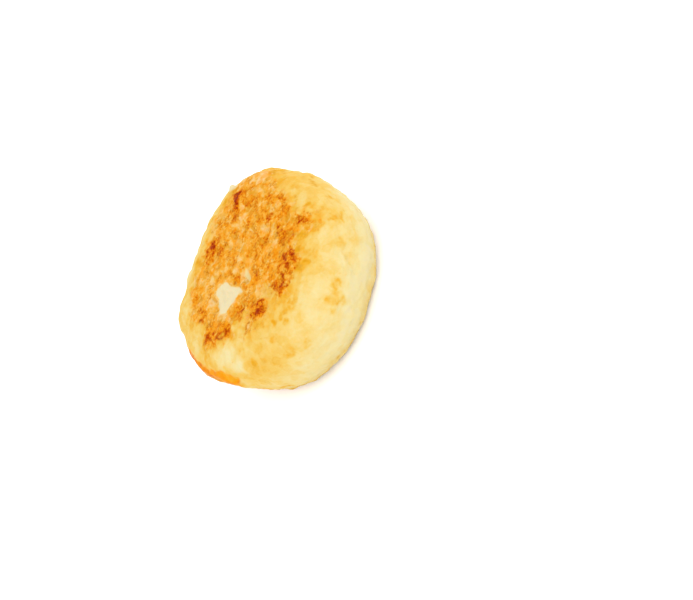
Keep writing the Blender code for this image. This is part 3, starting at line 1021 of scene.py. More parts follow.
        tone = blend(self.near_level, self.far_level, smooth_step(face.first, *self.near_reach))
        tone += self.broad_clouds.at(points) + self.small_clouds.at(points)
        curls = self.curls.at(points) * self.curl_places.at(points)
        tone = blend(tone, self.peach_tone, np.maximum(peach, self.blush.at(points)))
        tone += deep * (self.deep_share + self.deep_clouds.at(points)) + self.curl_rise * curls
        return tone + self.rim_change * smooth_step(face.first, *self.rim_reach) * top

    def marks(self, skin: Skin, shift: tuple[Array, Array], dough: Array) -> dict[Mark, Array]:
        """The numbers of the crust and of the dough under it.

        Args:
            skin: The skin.
            shift: How far the marks are drawn aside along x and y, in millimetres.
            dough: How golden the plain dough is.

        Returns:
            The dough's gold with the crust's halo on it, the crust's tone, and the share of crust.
        """
        face = skin.face(shift)
        top = (skin.outward[:, 2] > 0) * 1.0
        within = self.inside_top(skin)
        inside = smooth_step(within, -self.edge, self.edge)
        tone = self.tone(skin.points, face, top) + self.outside_change * (1 - inside) * top
        broken = self.halo_share + self.halo_clouds.at(skin.points)
        halo = bell(np.minimum(within, 0) / self.halo_reach) * broken
        dough = dough + self.halo * halo * top

        bare = top * self.bare_share(skin, shift)
        bare += skin.on_base * strongest(PuckForm.base_hollows, face, self.hollow_softness)
        fried = np.maximum(inside * top, skin.crust * skin.on_base) * (1 - bare)
        return {Mark.DOUGH: blend(dough, self.bare_tone, bare), Mark.CRUST: tone, Mark.FRIED: fried}


@dataclass(frozen=True)
class SideCrust:
    """The crust that climbs the wall from the base. Its upper edge shines with frying fat."""

    # By azimuth and height.
    outline: Patch = Patch(
        (
            (156, 21.2), (162, 21.8), (168, 21.9), (175, 21.6), (182, 21.2), (191, 21.6), (197, 20.2),
            (200, 18.8), (197.5, 16.6), (194, 14), (191, 9), (196, 3), (198, -3), (126, -3), (129, 3),
            (135, 9), (136, 14), (143, 18), (150, 20.6),
        )
    )
    edge: float = 0.45
    rags: Clouds = Clouds(1.6 * MM, 71, 3, 0.4)
    low_edge: float = 1.3
    low_rags: Clouds = Clouds(5.5 * MM, 73, 2, 3.2)

    # The shiny edge: its tones by azimuth, and the heights below which it is browner.
    tone_azimuths: tuple = (130, 160, 172, 180, 188, 199)
    tones: tuple = (0.80, 0.64, 0.68, 0.54, 0.42, 0.16)
    brown_azimuths: tuple = (130, 156, 170, 180, 193)
    brown_heights: tuple = (18.0, 20.4, 20.8, 20.0, 17.6)
    brown_change: float = 0.30
    brown_fade: tuple = (-0.6, 0.9)
    # How far below those heights it ends.
    shiny_reach: tuple = (0.4, 2.2)
    shiny_rags: Clouds = Clouds(3 * MM, 78, 2, 1.2)

    # The plain crust below it, with scorched and pale blots, and the gold around it.
    low_tone: float = 0.40
    broad_clouds: Clouds = Clouds(6 * MM, 74, 2, 0.10)
    small_clouds: Clouds = Clouds(2.2 * MM, 76, 3, 0.10)
    scorched: Blots = Blots(Clouds(4.2 * MM, 75, 3), 0.16, 0.50, 0.40)
    pale: Blots = Blots(Clouds(3.4 * MM, 77), 0.16, 0.40, 0.24)
    all_over: Clouds = Clouds(2.0 * MM, 72, 3, 0.22)
    halo: float = 0.30
    halo_reach: float = 2.6

    def below_edge(self, skin: Skin) -> Array:
        """How far below the shiny edge's brown line each point is, in millimetres."""
        azimuth = np.degrees(skin.azimuth) % 360
        return np.interp(azimuth, self.brown_azimuths, self.brown_heights) - skin.height

    def shiny(self, skin: Skin) -> Array:
        """1 on the shiny edge and 0 below it, with an uneven change."""
        return 1 - smooth_step(self.below_edge(skin) + self.shiny_rags.at(skin.points), *self.shiny_reach)

    def tone(self, skin: Skin, shiny: Array) -> Array:
        """How brown it is.

        The shiny edge is by azimuth, and browner near its foot. Below it the crust is golden brown with
        pale and scorched places, like that of the top.

        Args:
            skin: The skin.
            shiny: 1 on the shiny edge and 0 below it.

        Returns:
            One number for each point, 0 on a peach blush and 1 where it is scorched.
        """
        points = skin.points
        tone = np.interp(np.degrees(skin.azimuth) % 360, self.tone_azimuths, self.tones)
        tone += self.brown_change * smooth_step(self.below_edge(skin), *self.brown_fade)
        plain = self.low_tone + self.broad_clouds.at(points) + self.small_clouds.at(points)
        plain += self.scorched.at(points) - self.pale.at(points)
        return blend(plain, tone, shiny) + self.all_over.at(points)

    def add_to(self, marks: dict[Mark, Array], skin: Skin) -> None:
        """Lays the side's crust over the other marks, with golden dough around its lower part.

        Args:
            marks: The numbers of the dough and of the faces' crusts, which it changes.
            skin: The skin.
        """
        shiny = self.shiny(skin)
        within = self.outline.within(skin.wall) + self.rags.at(skin.points)
        within += (1 - shiny) * self.low_rags.at(skin.points)
        share = smooth_step(within / blend(self.low_edge, self.edge, shiny), -1, 1) * (1 - skin.on_base)
        marks[Mark.DOUGH] += self.halo * (1 - shiny) * bell(np.minimum(within, 0) / self.halo_reach)
        marks[Mark.CRUST] = blend(marks[Mark.CRUST], self.tone(skin, shiny), share)
        marks[Mark.FRIED] = np.maximum(marks[Mark.FRIED], share * (1 - shiny))
        marks[Mark.OILY] = share * shiny


@dataclass(frozen=True)
class Specks:
    """Thin brown lines and dots: crust edges, cracks, burnt crumbs, and a foot line partly of painted contact
    shadow.
    """

    on_face: tuple[Stroke, ...] = strokes(
        (0.28, 1, (-25, 3), (-22.4, 2.9), (-20.8, 2.4)),
        (0.3, 0.9, (-21.2, 5.2), (-19.9, 4.6), (-18.9, 3.4), (-19.2, 2.4)),
        (0.22, 0.7, (-17.8, 5), (-17.9, 3.8), (-17.2, 2.8)),
        (0.32, 0.8, (-16.1, 11.5), (-16.6, 9.4), (-16.2, 7.2)),
        (0.34, 0.8, (-20.1, 8.7), (-18.6, 8.2), (-17.6, 7.6)), (0.26, 0.7, (-16.6, 14.9), (-16.2, 13.6)),
        (0.28, 0.6, (-14.4, 4.4), (-13.3, 4.2), (-12.4, 4.6)),
        (0.24, 0.7, (-8.6, 20.1), (-8.1, 20.7), (-7.2, 19.9)),
        (0.34, 0.9, (-1.5, 20), (-1.1, 19), (0.1, 18.8)), (0.22, 0.6, (-2.4, 20.8), (-2, 20.1)),
        (0.3, 0.7, (0.9, 19.6), (0.8, 17.1)), (0.26, 0.6, (2.5, 19.4), (2.4, 16.4)),
        (0.24, 0.6, (-4.7, 6.3), (-4.4, 4.6), (-3.5, 3.7), (-2.7, 4.7), (-3.2, 5.6)),
        (0.22, 0.6, (-6.1, 3.3), (-6.3, 2.2), (-5.6, 1.2)), (0.22, 0.6, (2.3, 12.1), (3.6, 12.4)),
        (0.26, 0.5, (4.2, 17.4), (4.6, 15)), (0.24, 0.6, (6.9, 20), (6.9, 21.4), (8.5, 21.9), (9, 21.3)),
        (0.36, 0.8, (16.4, 18.6), (16.3, 16.8), (17.4, 15.6)),
        (0.36, 1, (17.6, 19.8), (18.6, 18.6), (18.3, 16.8)),
        (0.32, 0.5, (14.4, 20.3), (16, 21), (17.8, 20.3)), (0.22, 0.6, (13.1, 22.4), (13.4, 21.2)),
        (0.24, 0.6, (14.1, 22.2), (14.4, 20.9)),
        (0.22, 0.6, (12.9, 2.7), (13.6, 2.6), (13.4, 1.6), (12.9, 1.2)), (0.22, 0.7, (14, 1.6), (14.7, 0.4)),
        (0.24, 0.7, (16.2, 2.4), (16.8, 1.4), (16.5, 0.6)),
        (0.24, 0.6, (17.3, 8.8), (18.2, 7.6), (18.1, 6.6)), (0.22, 0.6, (18.6, 9.2), (19.3, 8)),
        (0.18, 0.7, (19, 5.5), (20.7, 5.1)), (0.2, 0.7, (21.2, 13.7), (21.7, 12.4), (21.4, 10.4)),
        (0.17, 0.5, (23.6, 13.1), (21.8, 12.2)), (0.22, 0.5, (24.7, 10.4), (24.2, 9.4)),
        (0.22, 0.5, (11.6, 13.9), (10.9, 12.7), (11.4, 12.2)), (0.22, 0.5, (12.4, 14), (13.3, 12)),
        (0.24, 0.7, (-13.4, -2.6), (-12.7, -4.3), (-11.4, -4.6), (-10.3, -3.2)),
        (0.3, 0.6, (-14.8, -5.5), (-13.2, -5.8), (-12.7, -7.6)),
        (0.3, 0.7, (-12.2, -7.7), (-10.6, -7.8), (-9.2, -7.4)),
        (0.26, 0.8, (-20.4, -4.3), (-18.6, -4.7), (-17.1, -4.6)), (0.22, 0.6, (-18.9, -1.2), (-18.2, -3.3)),
        (0.3, 0.8, (-18.4, -5.2), (-17.6, -6.3)), (0.24, 0.8, (-22.9, 0.8), (-22.2, -1.2), (-21.2, -2.6)),
        (0.28, 0.6, (-17, -14), (-15.4, -12.7), (-14, -12.9), (-12.5, -14)),
        (0.26, 0.9, (-12.1, -12.1), (-10.5, -12.7), (-9.6, -13.9), (-8.8, -14.9)),
        (0.26, 0.9, (-7.4, -9), (-7.6, -11), (-8.2, -13.2)), (0.22, 0.8, (-8.6, -10.3), (-8.2, -12)),
        (0.3, 0.9, (-10.1, -17.7), (-9, -17.2), (-7.6, -15.9), (-6.4, -14.7)),
        (0.22, 0.7, (-2.3, -15.9), (-1.6, -17.6)), (0.26, 0.9, (-0.9, -15.4), (-0.4, -17.6)),
        (0.26, 0.8, (-1.5, -20.8), (-0.9, -21.9)), (0.26, 0.8, (0.9, -18.6), (1.2, -19.6), (2, -20)),
        (0.22, 0.7, (0.1, -20.9), (1, -20.4)), (0.22, 0.7, (-0.2, -13.4), (0.6, -14.4)),
        (0.22, 0.7, (1.6, -19), (2.2, -18.2), (3, -17.6)), (0.22, 0.7, (3.4, -19.6), (3.9, -17.8)),
        (0.22, 0.7, (4.4, -20.6), (4.8, -18.8)), (0.3, 0.8, (4.6, -15.2), (5.2, -16.4)),
        (0.26, 0.8, (6, -17.6), (6.9, -16.8), (6.6, -16)), (0.26, 0.7, (7.5, -15.6), (7.8, -14.2)),
        (0.22, 0.6, (5.8, -13.3), (7, -13.8)), (0.3, 0.8, (7.8, -19.2), (8.8, -18.9)),
        (0.32, 0.9, (12.3, -7.8), (12.5, -9.9)), (0.24, 0.8, (13.2, -7.1), (14, -8)),
        (0.22, 0.7, (11.6, -7.2), (11.9, -8)), (0.26, 0.9, (11, -10.2), (12.3, -10.2), (13, -10.9)),
        (0.24, 0.9, (10.6, -11.4), (9.8, -12.8), (11.2, -13)),
        (0.22, 0.8, (12.2, -12.4), (12, -13.2), (12.7, -13.6), (12.4, -14.4)),
        (0.26, 0.6, (17.2, -14.2), (18, -13.2), (18.7, -14), (19.3, -15.7)),
        (0.26, 0.7, (13.3, -17.4), (14.1, -17.6)), (0.24, 0.7, (19.9, -4.3), (19.8, -6), (20.4, -7)),
        (0.22, 0.8, (6.4, -4.6), (7, -4), (7.6, -4.3)), (0.26, 0.7, (3.3, -8.7), (3.5, -7.4)),
        (0.22, 0.6, (1.8, -8.4), (2.4, -7.9)), (0.22, 0.6, (1, -5), (1.4, -4.2)),
        (0.24, 0.7, (16.2, -1.4), (16.9, -2), (16.6, -3)), (0.26, 0.6, (14.7, -1.2), (14.9, -3)),
        (0.2, 0.5, (-25.3, -10.6), (-24.9, -11)), (0.16, 0.4, (-16, -19), (-15.4, -20.6), (-14.7, -22)),
        (0.2, 0.4, (25.5, -16), (24.9, -17.6)), (0.2, 0.4, (27, -14.6), (26.6, -16)),
    )
    on_wall: tuple[Stroke, ...] = strokes(
        (0.28, 0.35, (270, 14.7), (272, 15.8), (272.6, 16.8)), (0.26, 0.3, (268.5, 17), (267, 16.2)),
        (0.24, 0.3, (295, 16.2), (292.5, 14)), (0.3, 0.22, (311, 19.6), (305, 18.6), (302, 17)),
        (0.26, 0.3, (328.5, 20.4), (325, 20), (324, 19.4)), (0.24, 0.35, (331, 19.2), (329, 18.6)),
        (0.26, 0.35, (321.2, 17), (320.6, 16.5)), (0.26, 0.35, (318.4, 21.2), (317.6, 20.9)),
        (0.24, 0.35, (287.4, 22.5), (286.6, 22.1)), (0.22, 0.35, (271.3, 20.8), (270.7, 20.5)),
        (0.2, 0.45, (286.2, 17.3), (285.8, 17)), (0.2, 0.4, (240.8, 18.7), (240.2, 18.2)),
        (0.18, 0.4, (242.5, 16.8), (240, 16.4)), (0.2, 0.3, (219.5, 20.2), (215.5, 20)),
        # The strokes along the foot of the wall, 2 to 4 millimetres up, are partly a browned edge and partly
        # painted contact shadow.
        (0.24, 0.2, (213, 15), (214.2, 9.6)), (0.4, 0.6, (213, 2.8), (219, 2.9), (226, 2.5), (234, 2.6)),
        (0.55, 0.95, (224, 2.2), (230, 2.3), (238, 2.4)), (0.45, 0.75, (199, 3.4), (206, 3), (211, 2.2)),
        (0.36, 0.7, (244, 3.8), (248, 3.4)), (0.36, 0.6, (266, 3.6), (269, 3)),
        (0.36, 0.8, (160, 20.8), (166, 20.4), (171.5, 19.8)),
        (0.42, 0.8, (171.5, 19.8), (173.8, 17.9), (175, 15.8), (177, 13.4)),
    )

    softness: float = 0.95
    face_shift: float = 0.5
    fading_share: float = 0.7
    fading: Clouds = Clouds(1.1 * MM, 69, 2, 0.8)
    # Thin curls all over the darker crust, in blots.
    curls: Curls = Curls(Clouds(1.7 * MM, 66), 0.13)
    curl_places: Blots = Blots(Clouds(2.6 * MM, 67), 0.0, 0.5)
    curl_tones: tuple = (0.34, 0.72)
    curl_strength: float = 0.50
    # A patchy brown line round the foot of the wall, partly a browned edge and partly painted contact shadow:
    # its height, its fade and its blots.
    foot_height: float = 2.2
    foot_rags: Clouds = Clouds(3.4 * MM, 81, 3, 1.6)
    foot_fade: tuple = (-0.4, 0.8)
    foot_places: Blots = Blots(Clouds(2.2 * MM, 82), -0.25, 0.35)
    foot_edge_and_shadow_strength: float = 0.55

    def share(self, skin: Skin, shift: tuple[Array, Array], fried: Array, crust: Array) -> Array:
        """Where the brown lines and dots lie.

        Args:
            skin: The skin.
            shift: How far the marks are drawn aside along x and y, in millimetres.
            fried: The share of crust.
            crust: How brown the crust is.

        Returns:
            1 on them and 0 beside them.
        """
        points = skin.points
        face = strongest(self.on_face, skin.face(shift, self.face_shift), self.softness)
        wall = strongest(self.on_wall, skin.wall, self.softness)
        found = np.maximum((skin.outward[:, 2] > 0) * face, (1 - skin.on_top) * wall)
        found *= self.fading_share + self.fading.at(points)
        curls = self.curls.at(points) * self.curl_places.at(points)
        found = np.maximum(found, self.curl_strength * curls * fried * smooth_step(crust, *self.curl_tones))
        # The line round the foot of the wall: partly a browned edge, partly painted contact shadow.
        foot = smooth_step(self.foot_height + self.foot_rags.at(points) - skin.height, *self.foot_fade)
        foot *= self.foot_edge_and_shadow_strength * self.foot_places.at(points) * (1 - skin.on_base)
        return np.maximum(found, foot)


@dataclass(frozen=True)
class Browning:
    """All that the pan coloured. Two clouds draw the marks aside, so that none has an even edge."""

    dough: Dough = Dough()
    crust: Crust = Crust()
    specks: Specks = Specks()
    side: SideCrust = SideCrust()
    shifts: tuple[Clouds, ...] = (Clouds(3.2 * MM, 41, 3, 0.7), Clouds(3.2 * MM, 42, 3, 0.7))

    def marks(self, skin: Skin) -> dict[Mark, Array]:
        """The numbers of each point for its finish to read.

        Args:
            skin: The skin.

        Returns:
            An array for each kind of mark.
        """
        shift = tuple(clouds.at(skin.points) for clouds in self.shifts)
        marks = self.crust.marks(skin, shift, self.dough.tone(skin, shift))
        self.side.add_to(marks, skin)
        marks[Mark.SPECK] = self.specks.share(skin, shift, marks[Mark.FRIED], marks[Mark.CRUST])
        return marks


@dataclass(frozen=True)
class FineRelief:
    """The fine roughness of the skin, in metres: crusty grains where it is fried, smooth dough elsewhere."""

    # The crust's tones over which it turns rough, and scorched.
    fried_tones: tuple = (0.10, 0.55)
    scorched_tones: tuple = (0.55, 0.9)
    bend_clouds: tuple[Clouds, ...] = (Clouds(2 * MM, 90), Clouds(2 * MM, 91), Clouds(2 * MM, 92))
    bend_reach: float = 0.35 * MM

    crust_grains: Grains = Grains(1.15 * MM, 91)
    crust_rise: float = 0.14 * MM
    least_dome: float = 0.5
    dome_average: float = 0.7
    crags: Clouds = Clouds(2.6 * MM, 92, 4)
    crag_rise: float = 0.12 * MM
    scorches: Clouds = Clouds(1.1 * MM, 93)
    scorch_rise: float = 0.14 * MM
    groove_depth: float = 0.04 * MM

    dough_grains: Grains = Grains(2.2 * MM, 94)
    dough_rise: float = 0.05 * MM
    dough_average: float = 0.8
    dough_waves: tuple = ((9 * MM, 0.10 * MM, 97), (4 * MM, 0.09 * MM, 98), (2.2 * MM, 0.05 * MM, 99))
    # Pores lie in the middles of the grains whose own number is over a level. On crust they are shallower.
    pore_grains: Grains = Grains(3.4 * MM, 95)
    pore_level: float = 0.45
    pore_radii: tuple = (0.052, 0.13)
    pore_depth: float = 0.16 * MM
    crust_pore_loss: float = 0.5

    fold_softness: float = 0.9

    # Soft folds of the wall by azimuth and height, with how far they stand out in millimetres.
    ridges: tuple[Stroke, ...] = strokes(
        (0.7, 0.22, (297, 17.8), (293.5, 16.6), (290, 15.4), (288, 13.6)),
        (0.6, 0.14, (295, 18.6), (291, 17.6), (288, 16.8)), (0.9, 0.16, (213, 16), (206, 14), (200, 11.4)),
    )
    folds: tuple[Stroke, ...] = strokes(
        (0.8, 0.22, (296, 16), (293, 14), (289, 12)), (0.8, 0.2, (312, 20), (305, 18.6), (301, 16.4)),
        (0.8, 0.18, (314, 22), (314.5, 19.4), (318, 17.6)), (0.9, 0.2, (274, 18.6), (272, 15.8), (269, 14)),
        (0.9, 0.18, (215, 15.6), (214, 9.6), (219, 5)), (1, 0.18, (244, 19.4), (250, 17.6)),
    )

    def dough(self, skin: Skin, bent: Array) -> Array:
        """The rise of plain dough: soft waves, low domes on its grains, and folds on the wall.

        Args:
            skin: The skin.
            bent: Its points, drawn aside.

        Returns:
            The rise in metres.
        """
        near, _ = self.dough_grains.at(bent)
        soft = ripple_sum(skin.points, self.dough_waves) + self.dough_rise * (self.dough_average - near**2)
        folds = strongest(self.ridges, skin.wall, self.fold_softness)
        folds -= strongest(self.folds, skin.wall, self.fold_softness)
        return soft + MM * folds

    def rise(self, skin: Skin, marks: dict[Mark, Array]) -> Array:
        """The rise of each point along its outward way.

        Crust: a dome on each grain, one less the square of the way to its middle, plus cloudy crags,
        times how fried the place is. Dough: soft waves, lower domes, folds, and pores where a grain's
        middle is near. Brown lines are grooves.

        Args:
            skin: The skin.
            marks: The numbers of its points.

        Returns:
            The rise in metres.
        """
        points = skin.points
        crust = marks[Mark.CRUST]
        fried = marks[Mark.FRIED] * smooth_step(crust, *self.fried_tones)
        scorched = marks[Mark.FRIED] * smooth_step(crust, *self.scorched_tones)
        bent = points + self.bend_reach * np.stack([clouds.at(points) for clouds in self.bend_clouds], axis=1)
        near, number = self.crust_grains.at(bent)
        dome = (1 - near**2) * (self.least_dome + number)
        rise = fried * self.crust_rise * (dome - self.dome_average)
        rise += fried * self.crag_rise * self.crags.at(points)
        rise += self.scorch_rise * scorched * self.scorches.at(points)
        rise -= self.groove_depth * marks[Mark.SPECK] * fried
        rise += (1 - fried) * self.dough(skin, bent)
        near, number = self.pore_grains.at(points)
        pore = (1 - smooth_step(near, *self.pore_radii)) * (number > self.pore_level)
        return rise - self.pore_depth * pore * (1 - self.crust_pore_loss * fried)


# ---------- Shader maths ----------


class Value:
    """A number on a surface: a socket, with plain arithmetic on it that adds Math nodes."""

    def __init__(self, wiring: "Wiring", socket: bpy.types.NodeSocket) -> None:
        """Keeps the socket and the wiring that it belongs to."""
        self.wiring = wiring
        self.socket = socket

    def _math(self, operation: str, *others: "Value | float") -> "Value":
        """This value and the others through one Math node."""
        return self.wiring.add("ShaderNodeMath", {"operation": operation}, dict(enumerate([self, *others])))

    def __add__(self, other: "Value | float") -> "Value":
        """Their sum."""
        return self._math("ADD", other)

    def __sub__(self, other: "Value | float") -> "Value":
        """This less the other."""
        return self._math("SUBTRACT", other)

    def __rsub__(self, other: float) -> "Value":
        """The other less this."""
        return (self * -1.0) + other

    def __mul__(self, other: "Value | float") -> "Value":
        """Their product."""
        return self._math("MULTIPLY", other)

    __radd__ = __add__
    __rmul__ = __mul__

    def rise(self, low: float, high: float) -> "Value":
        """0 below low, 1 above high, and a smooth rise between them."""
        inputs = {"Value": self, "From Min": low, "From Max": high}
        return self.wiring.add("ShaderNodeMapRange", {"interpolation_type": "SMOOTHSTEP"}, inputs)


class Wiring:
    """The nodes of one material."""

    def __init__(self, material: bpy.types.Material) -> None:
        """Takes over the material's node tree and its Principled shader.

        Args:
            material: A new material.
        """
        material.use_nodes = True
        self.tree = material.node_tree
        self.shader = self.tree.nodes["Principled BSDF"]

    def add(self, kind: str, settings: dict, inputs: dict, output: int | str = 0) -> Value:
        """Adds one node.

        Args:
            kind: The node's type.
            settings: Its own settings, set before its sockets. A ramp's stops are under "stops", each a
                place and a colour.
            inputs: A value, a Value or a colour for each socket, by name or number.
            output: The output that is wanted, by name or number.

        Returns:
            The output socket as a Value.
        """
        node = self.tree.nodes.new(kind)
        for name, setting in settings.items():
            if name == "stops":
                self._set_stops(node.color_ramp, setting)
            else:
                setattr(node, name, setting)
        for name, given in inputs.items():
            self.put(node.inputs[name], given)
        return Value(self, node.outputs[output])

    def put(self, socket: bpy.types.NodeSocket, given: "Value | float | tuple") -> None:
        """Links a Value to a socket, or sets a plain number or colour on it.

        Args:
            socket: The socket.
            given: What it gets.
        """
        if isinstance(given, Value):
            self.tree.links.new(given.socket, socket)
        else:
            socket.default_value = given

    @staticmethod
    def _set_stops(ramp: bpy.types.ColorRamp, stops: list) -> None:
        """Gives a ramp its stops.

        Args:
            ramp: The ramp.
            stops: Places and colours, in order.
        """
        while len(ramp.elements) > 1:
            ramp.elements.remove(ramp.elements[-1])
        ramp.elements[0].position, ramp.elements[0].color = stops[0]
        for position, colour in stops[1:]:
            ramp.elements.new(position).color = colour

    def ramp(self, stops: tuple, level: Value) -> Value:
        """The colour of a level on a ramp of screen colours, whose stops start at 0.

        Args:
            stops: Levels and colours, in order.
            level: The level.

        Returns:
            The surface colour.
        """
        top = stops[-1][0]
        shown = [(at / top, seen(*colour)) for at, colour in stops]
        return self.add("ShaderNodeValToRGB", {"stops": shown}, {"Fac": level * (1 / top)})

    def mark(self, mark: Mark) -> Value:
        """A number that the skin carries."""
        return self.add("ShaderNodeAttribute", {"attribute_name": mark.value}, {}, "Fac")

    def place(self) -> Value:
        """The place on the piece, in metres."""
        return self.add("ShaderNodeTexCoord", {}, {}, "Object")

    def noise(self, place: Value, size: float, detail: float = 2.0) -> Value:
        """Cloudy noise from about 0 to 1 on the piece, its size in metres."""
        inputs = {"Vector": place, "Scale": 1 / size, "Detail": detail, "Roughness": 0.55}
        return self.add("ShaderNodeTexNoise", {}, inputs)

    def cells(self, place: Value, size: float) -> Value:
        """A number from about 0 to 1 for each cell of an uneven mosaic, its size in metres."""
        return self.add("ShaderNodeTexVoronoi", {}, {"Vector": place, "Scale": 1 / size}, "Color")

    def cell_edges(self, place: Value, size: float) -> Value:
        """How far a place is from the edge of its cell in the same mosaic, in cells."""
        settings = {"feature": "DISTANCE_TO_EDGE"}
        return self.add("ShaderNodeTexVoronoi", settings, {"Vector": place, "Scale": 1 / size}, "Distance")

    def warped(self, place: Value, size: float, reach: float) -> Value:
        """A place, drawn aside by cloudy noise.

        Args:
            place: The place.
            size: The noise's size in metres.
            reach: How far it draws the place aside, in metres.

        Returns:
            The new place.
        """
        noise = self.add("ShaderNodeTexNoise", {}, {"Vector": place, "Scale": 1 / size}, "Color")
        inputs = {0: noise, 1: (reach, reach, reach), 2: place}
        return self.add("ShaderNodeVectorMath", {"operation": "MULTIPLY_ADD"}, inputs)

    def turned(self, place: Value, degrees: float, stretch: tuple) -> Value:
        """The place in axes turned about Z, so that marks are drawn out by a stretch along each axis."""
        inputs = {"Vector": place, "Rotation": (0.0, 0.0, math.radians(degrees)), "Scale": stretch}
        return self.add("ShaderNodeMapping", {"vector_type": "TEXTURE"}, inputs)

    def mix(self, share: Value, first: "Value | tuple", second: "Value | tuple") -> Value:
        """Two colours mixed.

        Args:
            share: The share of the second colour.
            first: The first colour.
            second: The second colour.

        Returns:
            The mixed colour.
        """
        node = self.tree.nodes.new("ShaderNodeMix")
        node.data_type = "RGBA"
        self.put(node.inputs["Factor"], share)
        colours = [socket for socket in node.inputs if socket.type == "RGBA"]
        self.put(colours[0], first)
        self.put(colours[1], second)
        return Value(self, next(socket for socket in node.outputs if socket.type == "RGBA"))


# How strongly the scene's light falls on the piece.
LIGHT = 1.92


def seen(red: int, green: int, blue: int) -> tuple[float, float, float, float]:
    """The surface colour that looks like a screen colour under the scene's light.

    Each part is taken from the screen's curve to plain light, and divided by how strong the light is.

    Args:
        red: The screen colour's red, from 0 to 255.
        green: Its green.
        blue: Its blue.

    Returns:
        The colour's three parts and its alpha.
    """
    parts = []
    for part in (red, green, blue):
        share = part / 255
        plain = share / 12.92 if share < 0.04045 else ((share + 0.055) / 1.055) ** 2.4
        parts.append(plain / LIGHT)
    return (*parts, 1.0)


@dataclass(frozen=True)
class Patterns:
    """What the finish is mixed from: the skin's marks, and fine patterns on it.

    Fleck, fine, patch, bit and granule are about 0 on average. The others run from 0 to 1: gap between
    the granules, patchy in soft spots, and rough and dark by the crust's tone. Grained is the place in
    the axes that the granules lie along.
    """

    marks: dict[Mark, Value]
    place: Value
    grained: Value
    fleck: Value
    fine: Value
    patch: Value
    bit: Value
    granule: Value
    gap: Value
    patchy: Value
    rough: Value
    dark: Value

    def weight(self, everywhere: float, on_rough: float, on_dark: float) -> Value:
        """A weight that is larger on rough crust, and again on dark crust."""
        return everywhere + on_rough * self.rough + on_dark * self.dark


